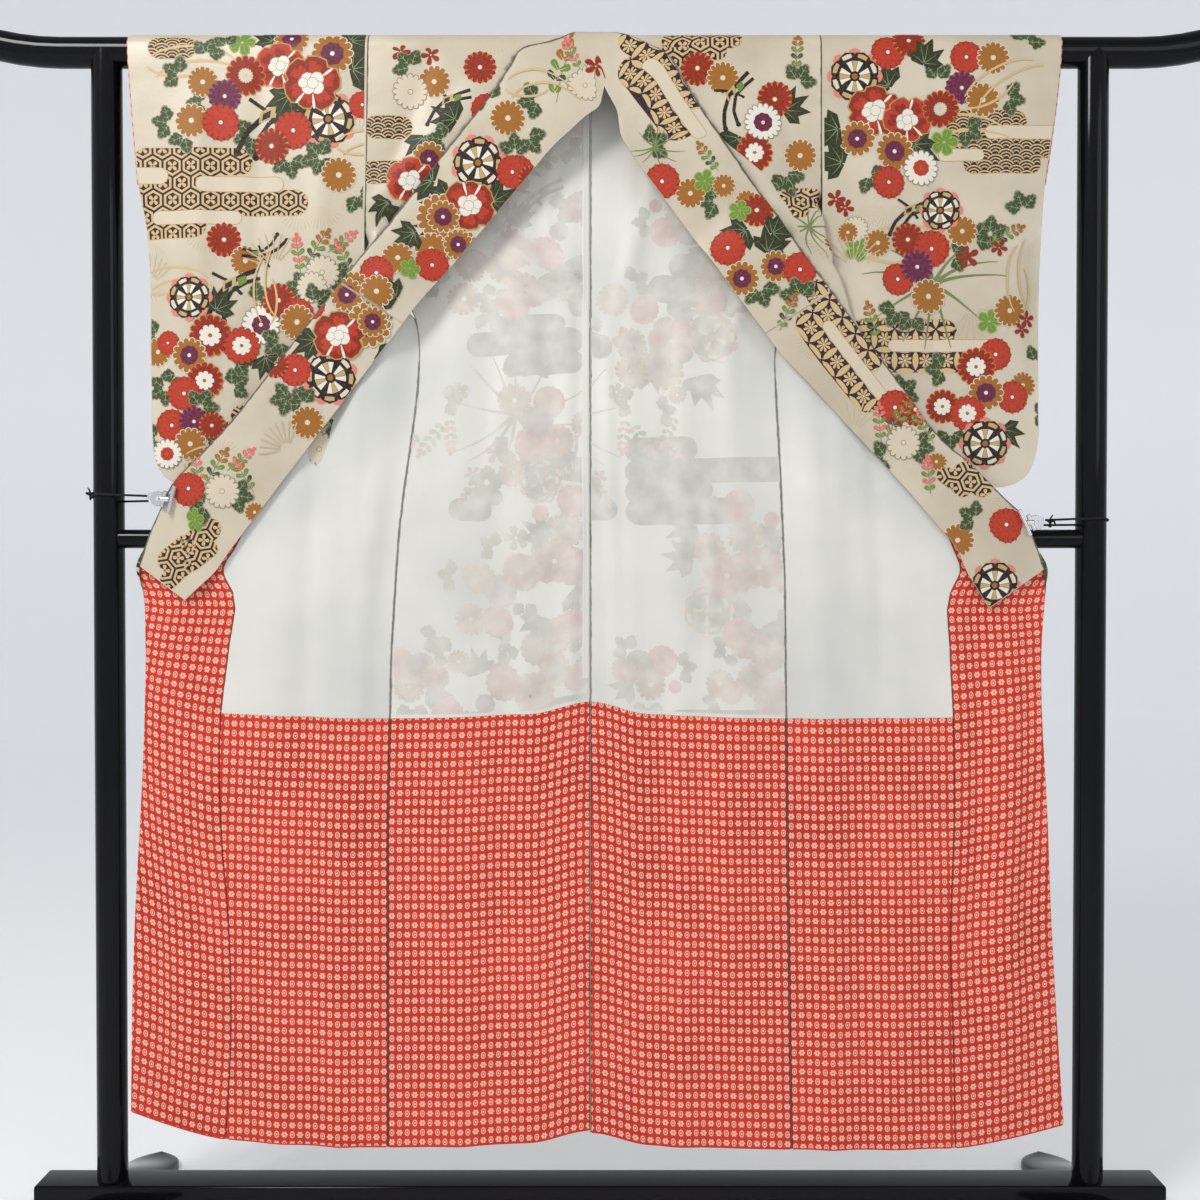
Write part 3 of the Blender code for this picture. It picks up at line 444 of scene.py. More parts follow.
def body_grid(side, rows):
    behind = [r for r in rows if r[0] != "front"]
    before = [r for r in rows if r[0] == "front"]
    a = share_grid(behind, BODY_COLUMNS, lambda k, v, s: body_point(side, k, v, s))
    return np.concatenate([a, front_grid(side, before, "body")])


def okumi_grid(side):
    rows = [r for r in body_rows(side) if r[0] == "front" and r[1] <= OKUMI_TOP_Z[side]]
    return trim(front_grid(side, rows, "okumi"), OKUMI_TOP_GAP, 0.0)


def unit(v):
    return v / np.maximum(np.linalg.norm(v, axis=-1, keepdims=True), 1e-12)


def trim(grid, first, last):
    """The first and last row pulled along the cloth, to leave seam gaps."""
    g = grid.copy()
    g[0] += unit(g[1] - g[0]) * first
    g[-1] += unit(g[-2] - g[-1]) * last
    return g


def edge_line(side):
    """Points of the collar seam from the neck to the collar's end, where the body and okumi end."""
    points = []
    for kind, level in body_rows(side):
        if kind == "arc" and level > NECK_S - 1e-9:
            x, y, z = body_point(side, kind, level, 1.0)
            points.append((x - side * GAP, y, z))
        if kind == "front" and level >= COLLAR_END[side]:
            part = "body" if level > OKUMI_TOP_Z[side] else "okumi"
            last = (BODY_COLUMNS if part == "body" else OKUMI_COLUMNS) - 1
            points.append(front_point(side, level, last, part))
    return [np.array(p) for p in points]


def free_edge_at(side, point):
    """The free edge's x and cloth length s for a point of the collar seam."""
    table = COLLAR[side]
    seam = [(CENTRE_X, BAR_Z + WRAP_R)] + [(p[0], p[1]) for p in table]
    free = [COLLAR_CENTRE_FREE] + [(p[2], p[3]) for p in table]
    steps = along(seam)
    best, place = 1e9, 0.0
    for i in range(len(seam) - 1):
        a, b = np.array(seam[i]), np.array(seam[i + 1])
        p = np.array([point[0], point[2]])
        t = float(np.clip(np.dot(p - a, b - a) / np.dot(b - a, b - a), 0, 1))
        d = float(np.linalg.norm(a + (b - a) * t - p))
        if d < best:
            best, place = d, mix(steps[i], steps[i + 1], t)
    return (float(np.interp(place, steps, [f[0] for f in free])),
            float(np.interp(place, steps, [f[1] for f in free])))


def collar_point(side, point, share):
    x1, z1 = free_edge_at(side, point)
    over = point[1] > -WRAP_R + 1e-6 and point[2] > BAR_Z - 1e-6
    s0 = WRAP_R * math.atan2(-point[1], point[2] - BAR_Z) if over else length_at(point[2])
    s1 = length_at(z1)
    shift = point[1] - hang(s0)[0]
    start = GAP / math.hypot(x1 - point[0], s1 - s0)
    t = mix(start, 1.0, share)
    s = mix(s0, s1, t)
    y, z = hang(s)
    angle = min(max(s / WRAP_R, -math.pi / 2), math.pi / 2)
    return (mix(point[0], x1, t), y + shift - COLLAR_LIFT * math.sin(angle),
            z + COLLAR_LIFT * math.cos(angle))


def collar_grid():
    neck = (CENTRE_X, -WRAP_R * math.sin(NECK_S / WRAP_R), BAR_Z + WRAP_R * math.cos(NECK_S / WRAP_R))
    rows = [(LEFT, p) for p in reversed(edge_line(LEFT)[1:])]
    rows += [(LEFT, neck)] + [(RIGHT, p) for p in edge_line(RIGHT)[1:]]
    return share_grid(rows, COLLAR_COLUMNS, collar_point)


def sleeve_rows():
    down = [1.64, 1.56, 1.494, 1.437, 1.36, 1.27, 1.18, 1.13, 1.10, 1.083, 1.072, SLEEVE_BOTTOM_Z]
    rows = [("back", z) for z in reversed(down)]
    rows += [("arc", WRAP_STEP * k) for k in range(-5, 6)]
    rows += [("front", z) for z in down]
    return rows


def sleeve_point(side, kind, level, share):
    if kind == "arc":
        y, z = hang(level)
    else:
        z = level
        y = 0.0
    inner = look(SIDE[side], max(z, JOINT_END[side])) if z > JOINT_END[side] else SLEEVE_IN[side]
    inner += side * GAP / 2
    outer = look(SLEEVE_OUT[side], z)
    bow = share ** 0.8
    x = mix(inner, outer, bow)
    if kind == "arc":
        return (x, y, z)
    back, front = back_y(z), sleeve_front_y(z)
    middle = (back + front) / 2
    half = (back - front) / 2
    sewn = CLOTH / 2 + GAP / 2
    below_mouth = smooth((BAR_Z - SLEEVE_MOUTH - z) / 0.05)
    edge = smooth((abs(outer - x)) / 0.035)
    bottom = smooth((z - SLEEVE_BOTTOM_Z) / 0.05)
    open_share = min(bottom, mix(1.0, edge, below_mouth))
    depth = mix(sewn, half, open_share)
    return (x, middle + depth if kind == "back" else middle - depth, z)


def cuff_point(side, kind, level, share):
    x, y, z = sleeve_point(side, kind, level, 1.0)
    return (x - side * mix(CUFF_STRIP, -0.0015, share), y, z)


def bar_centre(x):
    over = max(abs(x) - BAR_STRAIGHT, 0.0) / (BAR_HALF - BAR_STRAIGHT)
    return (x, 0.0, BAR_Z + BAR_END_RISE * over * over)


# Clips and their cords: x and z of the clip's jaw, x and z of its end, z of the cord on the post
CLIPS = {
    LEFT: (-0.6035, 1.047, -0.6360, 1.049, 1.052),
    RIGHT: (0.5985, 1.0145, 0.6250, 1.015, 1.018),
}
CLIP_Y = -0.0420
CORD_R = 0.0016
CORD_START = 0.0015


# Printed pattern: a motif is a list of convex shapes (points in motif units, ink, lift), lowest first
INKS = {
    "cloth": (0.63, 0.55, 0.42), "cream": (0.68, 0.60, 0.46), "white": (0.76, 0.72, 0.63),
    "gold": (0.45, 0.28, 0.10), "pale_gold": (0.50, 0.35, 0.15), "ochre": (0.32, 0.125, 0.020),
    "coral": (0.43, 0.034, 0.018), "brick": (0.25, 0.018, 0.008), "orange": (0.55, 0.16, 0.04),
    "purple": (0.115, 0.012, 0.050), "plum": (0.26, 0.07, 0.13), "salmon": (0.68, 0.22, 0.16),
    "pine": (0.015, 0.030, 0.012), "leaf": (0.033, 0.066, 0.024), "vein": (0.26, 0.33, 0.18),
    "green": (0.135, 0.24, 0.035), "lime": (0.24, 0.37, 0.09), "pink": (0.66, 0.15, 0.13),
    "ink": (0.009, 0.008, 0.011), "navy": (0.010, 0.008, 0.030), "line": (0.25, 0.23, 0.16),
    "faint": (0.53, 0.43, 0.28), "blade": (0.16, 0.21, 0.08), "straw": (0.60, 0.43, 0.21),
}
CELL_HEXAGON = 0.0160
CELL_WAVE = 0.0150
CELL_LATTICE = 0.030


def circle(x, y, r, n, turn=0.0):
    return [(x + r * math.cos(turn + 2 * math.pi * k / n), y + r * math.sin(turn + 2 * math.pi * k / n))
            for k in range(n)]


def turned(points, angle, x=0.0, y=0.0):
    c, s = math.cos(angle), math.sin(angle)
    return [(x + c * px - s * py, y + s * px + c * py) for px, py in points]


def petal(inner, outer, width, root=0.35):
    """A rounded petal that points along +X."""
    span = outer - inner
    half = [(0.0, root), (0.62, 1.0), (0.92, 0.74)]
    top = [(inner + t * span, w * width / 2) for t, w in half]
    return [(x, -y) for x, y in top] + [(outer, 0.0)] + [(x, y) for x, y in reversed(top)]


def petals(count, inner, outer, width, ink, lift, turn=0.0, every=1):
    shape = petal(inner, outer, width)
    return [(turned(shape, turn + 2 * math.pi * k / count), ink, lift) for k in range(0, count, every)]


def lobes(count, reach, ink, lift):
    """A scalloped disc, as a fan of lobes over a round middle."""
    size = reach * math.sin(math.pi / count) * 1.12
    middle = reach - size
    found = [(circle(0, 0, middle, max(count, 10)), ink, lift)]
    for k in range(count):
        a = 2 * math.pi * (k + 0.5) / count
        found.append((circle(middle * math.cos(a), middle * math.sin(a), size, 8, a), ink, lift))
    return found


def flower(ink, edge):
    count = 16
    width = 2 * math.pi / count
    return ([(circle(0, 0, 0.95, count), edge, 0)] + petals(count, 0.15, 1.0, width * 0.70, ink, 1)
            + [(circle(0, 0, 0.11, 8), "white", 2)])


def spaced_flower(ink, edge, heart, count=14, heart_size=0.12):
    """Flower whose separate petals show their pale outlines."""
    width = 2 * math.pi / count
    return (petals(count, 0.10, 1.0, width * 0.98, edge, 0)
            + petals(count, 0.15, 0.955, width * 0.76, ink, 1)
            + [(circle(0, 0, heart_size, 8), heart, 2)])


def ringed_flower(ink, edge, middle, inner, heart):
    """Flower with a smaller second flower in its middle."""
    return (spaced_flower(ink, edge, ink, 16, 0.3) + [(circle(0, 0, 0.52, 14), middle, 2)]
            + petals(9, 0.08, 0.50, 0.27, inner, 3) + [(circle(0, 0, 0.10, 8), heart, 4)])


def peony(ink, shade):
    found = []
    for k, (angle, reach, width) in enumerate(((20, 1.0, 0.92), (88, 0.95, 0.90), (150, 1.0, 0.95),
                                               (212, 0.98, 0.92), (262, 0.90, 0.62), (318, 1.0, 0.90))):
        a = math.radians(angle)
        found.append((turned(petal(0.1, reach, width, 0.5), a), "gold", 0))
        found.append((turned(petal(0.1, reach - 0.045, width - 0.085, 0.5), a), ink, 1))
        found.append((turned(petal(0.2, reach * 0.80, width * 0.30), a + 0.16), shade, 2))
        found.append((turned(petal(0.2, reach * 0.72, width * 0.24), a - 0.2), shade, 2))
    for angle in (45, 240, 285):
        found.append((turned(petal(0.35, 0.86, 0.10), math.radians(angle)), "white", 3))
    for k, (x, y, r) in enumerate(((-0.16, 0.10, 0.26), (0.14, 0.18, 0.25), (0.20, -0.10, 0.24),
                                   (-0.10, -0.16, 0.24), (-0.30, -0.03, 0.18), (0.02, 0.02, 0.20))):
        found.append((circle(x, y, r, 10), "line", 3 + 0.2 * k))
        found.append((circle(x, y, r * 0.91, 10), "white", 3.1 + 0.2 * k))
    return found


def wheel():
    found = [(circle(math.cos(a) * 0.84, math.sin(a) * 0.84, 0.27, 8), "salmon", 0)
             for a in [2 * math.pi * k / 8 for k in range(8)]]
    found += lobes(8, 1.0, "ink", 1)
    for k in range(8):
        a = 2 * math.pi * (k + 0.5) / 8
        block = [(0.72, -0.18), (0.86, -0.20), (0.90, 0.0), (0.86, 0.20), (0.72, 0.18)]
        found.append((turned(block, a), "pale_gold" if k % 2 else "cream", 2))
        spoke = [(0.20, -0.035), (0.60, -0.11), (0.60, 0.11), (0.20, 0.035)]
        found.append((turned(spoke, a), "white", 2))
        found.append((turned(spoke, a + math.pi / 8), "pale_gold" if k % 2 else "ink", 2))
    return found + [(circle(0, 0, 0.17, 10), "ink", 3), (circle(0, 0, 0.12, 10), "ochre", 4)]


def leaves(ink, vein, count=3, spread=62):
    """Leaves on one stalk, each with a rib and side veins."""
    found = []
    for k in range(count):
        a = math.radians(90 + spread * (k - (count - 1) / 2))
        for x, y, reach, wide, angle in ((0.16, 0.0, 0.84, 0.44, 0), (0.24, 0.03, 0.46, 0.30, 42),
                                         (0.24, -0.03, 0.46, 0.30, -42), (0.48, 0.03, 0.36, 0.26, 38),
                                         (0.48, -0.03, 0.36, 0.26, -38)):
            outer = turned(petal(0.0, reach, wide, 0.6), math.radians(angle), x, y)
            inner = turned(petal(0.0, reach * 0.90, wide * 0.80, 0.6), math.radians(angle), x + 0.01, y)
            found += [(turned(outer, a), "line", 0), (turned(inner, a), ink, 1)]
        found.append((turned([(0.12, -0.018), (0.92, -0.008), (0.92, 0.008), (0.12, 0.018)], a), vein, 2))
        for x in (0.38, 0.68):
            for s in (-1, 1):
                line = [(x - 0.11, 0.0), (x - 0.06, 0.0), (x + 0.05, s * 0.21)]
                found.append((turned(line, a), vein, 2))
    return found


def jagged():
    """Cut leaf of five pointed lobes."""
    found = []
    for angle, reach in ((18, 0.92), (55, 1.18), (90, 1.30), (125, 1.18), (162, 0.92)):
        a = math.radians(angle)
        found.append((turned([(0.0, -0.12), (0.55, -0.26), (reach, 0.0), (0.55, 0.26), (0.0, 0.12)], a),
                      "pine", 0))
        found.append((turned([(0.05, -0.015), (reach * 0.8, 0.0), (0.05, 0.015)], a), "vein", 1))
    return found


def sprig(first, second, third):
    """Small paired leaves along a bent twig."""
    found = [([(-0.02, -1.0), (0.02, -1.0), (0.10, 0.9), (0.07, 0.9)], "line", 0)]
    rows = ((-0.75, 0.34, first), (-0.40, 0.42, second), (-0.02, 0.45, first), (0.36, 0.40, third),
            (0.70, 0.30, third))
    for y, reach, ink in rows:
        for s in (-1, 1):
            x = 0.06 * (y + 1)
            shape = petal(0.04, reach, 0.24, 0.5)
            found.append((turned(shape, math.radians(90 - s * 52), x, y), ink, 1))
            found.append((turned([(0.06, -0.01), (reach * 0.8, 0.0), (0.06, 0.01)],
                                 math.radians(90 - s * 52), x, y),
                          "cream", 2))
    found.append((turned(petal(0.0, 0.34, 0.22, 0.5), math.radians(80), 0.10, 0.85), third, 1))
    return found


def strip(points, widths, ink, lift=0):
    """A tapering band along a bent line."""
    found = []
    for (x0, y0), (x1, y1), w0, w1 in zip(points, points[1:], widths, widths[1:]):
        length = max(math.hypot(x1 - x0, y1 - y0), 1e-9)
        nx, ny = -(y1 - y0) / length, (x1 - x0) / length
        found.append(([(x0 - nx * w0, y0 - ny * w0), (x1 - nx * w1, y1 - ny * w1),
                       (x1 + nx * w1, y1 + ny * w1), (x0 + nx * w0, y0 + ny * w0)], ink, lift))
    return found


def blades(ink, rows):
    """Grass blades: each row is an angle in degrees, a length and a droop."""
    found = []
    for angle, length, droop in rows:
        a = math.radians(angle)
        line = []
        for k in range(8):
            t = k / 7
            line.append((length * t * math.cos(a) + droop * t * t * math.copysign(1, math.cos(a)) * 0.3,
                         length * t * math.sin(a) - abs(droop) * t * t))
        found += strip(line, [0.024 * (1 - k / 7) + 0.005 for k in range(8)], ink)
    return found


def shafts():
    """Curved lacquer shafts and box of a small court cart."""
    found = strip([(-0.9, -0.9), (-0.62, -0.35), (-0.2, 0.05), (0.4, 0.35), (0.9, 0.5)], [0.07] * 5, "ink",
                  0)
    found += strip([(-0.4, -1.0), (-0.3, -0.5), (0.0, -0.1), (0.5, 0.12), (0.95, 0.2)], [0.06] * 5, "ink",
                   0)
    found += strip([(-0.55, 0.55), (-0.1, 0.25), (0.3, -0.25)], [0.05] * 3, "ink", 0)
    found.append(([(-0.30, -0.10), (0.15, 0.05), (0.20, 0.36), (-0.25, 0.22)], "pale_gold", 1))
    found.append(([(-0.22, -0.03), (0.02, 0.05), (0.05, 0.24), (-0.18, 0.16)], "ink", 2))
    found.append(([(0.22, 0.0), (0.52, 0.12), (0.50, 0.34), (0.24, 0.28)], "green", 1))
    return found + [(circle(-0.9, -0.92, 0.10, 8), "ink", 1), (circle(-0.4, -1.02, 0.10, 8), "ink", 1)]


def fan_lines():
    """Pale woven fan that barely shows."""
    found = []
    for k in range(9):
        a = math.radians(30 + 15 * k)
        found.append((turned([(0.25, -0.012), (1.0, -0.022), (1.0, 0.022), (0.25, 0.012)], a), "faint", 0))
    return found


def arcs():
    """Long thin arcs of blown grass."""
    found = []
    for x, y, r, a0, a1 in ((0.0, 0.0, 1.0, 20, 150), (0.25, -0.35, 1.05, 35, 165),
                            (-0.3, 0.1, 0.7, 200, 330)):
        line = [(x + r * math.cos(math.radians(a0 + (a1 - a0) * k / 11)),
                 y + 0.45 * r * math.sin(math.radians(a0 + (a1 - a0) * k / 11))) for k in range(12)]
        found += strip(line, [0.014 + 0.016 * math.sin(math.pi * k / 11) for k in range(12)], "straw")
    return found


def clipped(points, region):
    """The part of a convex shape inside a convex region that runs anticlockwise."""
    out = list(points)
    for (ax, ay), (bx, by) in zip(region, region[1:] + region[:1]):
        given, out = out, []
        for (px, py), (qx, qy) in zip(given, given[1:] + given[:1]):
            p = (bx - ax) * (py - ay) - (by - ay) * (px - ax)
            q = (bx - ax) * (qy - ay) - (by - ay) * (qx - ax)
            if p >= 0:
                out.append((px, py))
            if (p >= 0) != (q >= 0):
                t = p / (p - q)
                out.append((px + (qx - px) * t, py + (qy - py) * t))
        if len(out) < 3:
            return []
    return out


def bar_shape(x0, x1, y, half):
    """Long bar with round ends."""
    right = [(x1 - half + half * math.cos(a), y + half * math.sin(a))
             for a in np.linspace(-math.pi / 2, math.pi / 2, 9)]
    left = [(x0 + half + half * math.cos(a), y + half * math.sin(a))
            for a in np.linspace(math.pi / 2, 3 * math.pi / 2, 9)]
    return [(float(x), float(y)) for x, y in right + left]


def hexagons(box):
    """Tortoiseshell cells: a pale band round a dark cell with a small four-petal flower."""
    x0, x1, y0, y1 = box
    r = CELL_HEXAGON
    found = []
    wide, tall = math.sqrt(3) * r, 1.5 * r
    for j in range(math.floor(y0 / tall) - 1, math.ceil(y1 / tall) + 2):
        for i in range(math.floor(x0 / wide) - 1, math.ceil(x1 / wide) + 2):
            cx = (i + 0.5 * (j % 2)) * wide
            cy = j * tall
            found.append((circle(cx, cy, r * 0.89, 6, math.pi / 6), "straw", 0.5))
            found.append((circle(cx, cy, r * 0.66, 6, math.pi / 6), "navy", 1.0))
            for k in range(4):
                shape = [(px * r, py * r) for px, py in petal(0.06, 0.50, 0.33, 0.4)]
                found.append((turned(shape, math.radians(45 + 90 * k), cx, cy), "straw", 1.5))
    return found


def waves(box):
    """Overlapping rings of sea waves: the part of each that the rows before it leave free."""
    x0, x1, y0, y1 = box
    r = CELL_WAVE
    found = []
    angles = np.linspace(0.0, math.pi, 11)
    for j in range(math.floor(y0 / (0.5 * r)) - 2, math.ceil(y1 / (0.5 * r)) + 2):
        cy = 0.5 * r * j
        for i in range(math.floor(x0 / (2 * r)) - 1, math.ceil(x1 / (2 * r)) + 2):
            cx = (i + 0.5 * (j % 2)) * 2 * r
            for far, near in ((0.96, 0.82), (0.66, 0.54), (0.37, 0.25)):
                for a, b in zip(angles, angles[1:]):
                    middle = ((far + near) / 2 * math.cos((a + b) / 2),
                              (far + near) / 2 * math.sin((a + b) / 2))
                    if min(math.hypot(middle[0] - side, middle[1] + 0.5) for side in (-1, 1)) < 0.97:
                        continue
                    found.append(([(float(cx + r * reach * math.cos(turn)),
                                    float(cy + r * reach * math.sin(turn)))
                                   for reach, turn in ((far, a), (far, b), (near, b), (near, a))], "straw",
                                  0.5))
    return found


def lattice(box):
    """Crossing rings: pointed ovals on a slanting square net, with rayed flowers between."""
    x0, x1, y0, y1 = box
    c = CELL_LATTICE
    found = []
    oval = [(0.04, 0.0), (0.25, -0.115), (0.5, -0.15), (0.75, -0.115), (0.96, 0.0), (0.75, 0.115),
            (0.5, 0.15), (0.25, 0.115)]
    for j in range(math.floor(y0 / c) - 1, math.ceil(y1 / c) + 1):
        for i in range(math.floor(x0 / c) - 1, math.ceil(x1 / c) + 1):
            px, py = i * c, j * c
            for angle in (0, 90):
                found.append((turned([(x * c, y * c) for x, y in oval], math.radians(angle), px, py),
                              "straw", 0.5))
            for k in range(8):
                shape = [(x * c, y * c) for x, y in petal(0.05, 0.34, 0.13, 0.2)]
                found.append((turned(shape, math.radians(22.5 + 45 * k), px + c / 2, py + c / 2), "straw",
                              0.5))
            found.append((circle(px + c / 2, py + c / 2, 0.05 * c, 6), "cream", 1.0))
    return found


FILLS = {"hexagons": hexagons, "waves": waves, "lattice": lattice}


def cloud(fill, bars, inlets):
    """Mist bands of one fill with pale bars cut in; rows are x0, x1, y and half height in metres."""
    found = [(bar_shape(x0 - 0.0010, x1 + 0.0010, y, half + 0.0010), "straw", 0.0) for x0, x1, y,
             half in bars]
    above = 0.4
    for x0, x1, y, half in bars:
        region = bar_shape(x0, x1, y, half)
        found.append((region, "navy", above))
        for points, ink, lift in FILLS[fill]((x0, x1, y - half, y + half)):
            kept = clipped(points, region)
            if kept:
                found.append((kept, ink, above + lift * 0.6))
        above += 1.2
    for x0, x1, y, half in inlets:
        found.append((bar_shape(x0, x1, y, half), "gold", above + 0.2))
        found.append((bar_shape(x0 + 0.0008, x1 - 0.0008, y, half - 0.0008), "cloth", above + 0.5))
    return found


def stamps():
    """Every motif by name in its own units; most have a reach of 1."""
    return {
        "coral": flower("coral", "brick"), "brick": flower("brick", "orange"),
        "ochre": spaced_flower("ochre", "cream", "cream", 16),
        "purple": flower("purple", "plum"), "amber": spaced_flower("ochre", "cream", "cream"),
        "outline": spaced_flower("cloth", "line", "cream", 16),
        "ruby": spaced_flower("brick", "orange", "white", 16),
        "daisy": spaced_flower("white", "line", "white", 18) + lobes(9, 0.50, "purple", 3)
        + [(circle(0, 0, 0.10, 8), "cream", 4)],
        "snow": spaced_flower("white", "line", "white", 16) + lobes(9, 0.46, "coral", 3)
        + [(circle(0, 0, 0.10, 8), "ochre", 4)],
        "crown": ringed_flower("brick", "orange", "brick", "white", "ochre"),
        "jewel": ringed_flower("coral", "brick", "coral", "white", "ochre"),
        "violet": spaced_flower("ochre", "cream", "cream") + lobes(9, 0.55, "purple", 3)
        + [(circle(0, 0, 0.11, 8), "white", 4)],
        "peony": peony("brick", "coral"), "peony_light": peony("coral", "brick"), "wheel": wheel(),
        "shafts": shafts(),
        "leaves": leaves("leaf", "vein"), "pair": leaves("leaf", "vein", 2, 80), "jagged": jagged(),
        "round_leaf": petals(5, 0.05, 1.0, 0.78, "lime", 0) + petals(5, 0.12, 0.90, 0.60, "green", 1)
        + petals(5, 0.10, 0.80, 0.06, "lime", 2),
        "sprig": sprig("green", "leaf", "ochre"), "pink_sprig": sprig("green", "pink", "pink"),
        "red_tip": petals(5, 0.1, 1.0, 0.55, "brick", 0, 0.0, 1), "fan": fan_lines(), "arcs": arcs(),
        "blades": blades("blade", ((20, 1.0, 0.25), (40, 1.0, 0.35), (62, 0.8, 0.2), (100, 0.9, 0.2),
                                   (128, 1.0, 0.3), (155, 1.0, 0.3), (200, 0.8, 0.2), (240, 0.8, 0.1),
                                   (262, 0.9, 0.0), (285, 0.8, 0.1), (330, 0.7, 0.15))),
    }


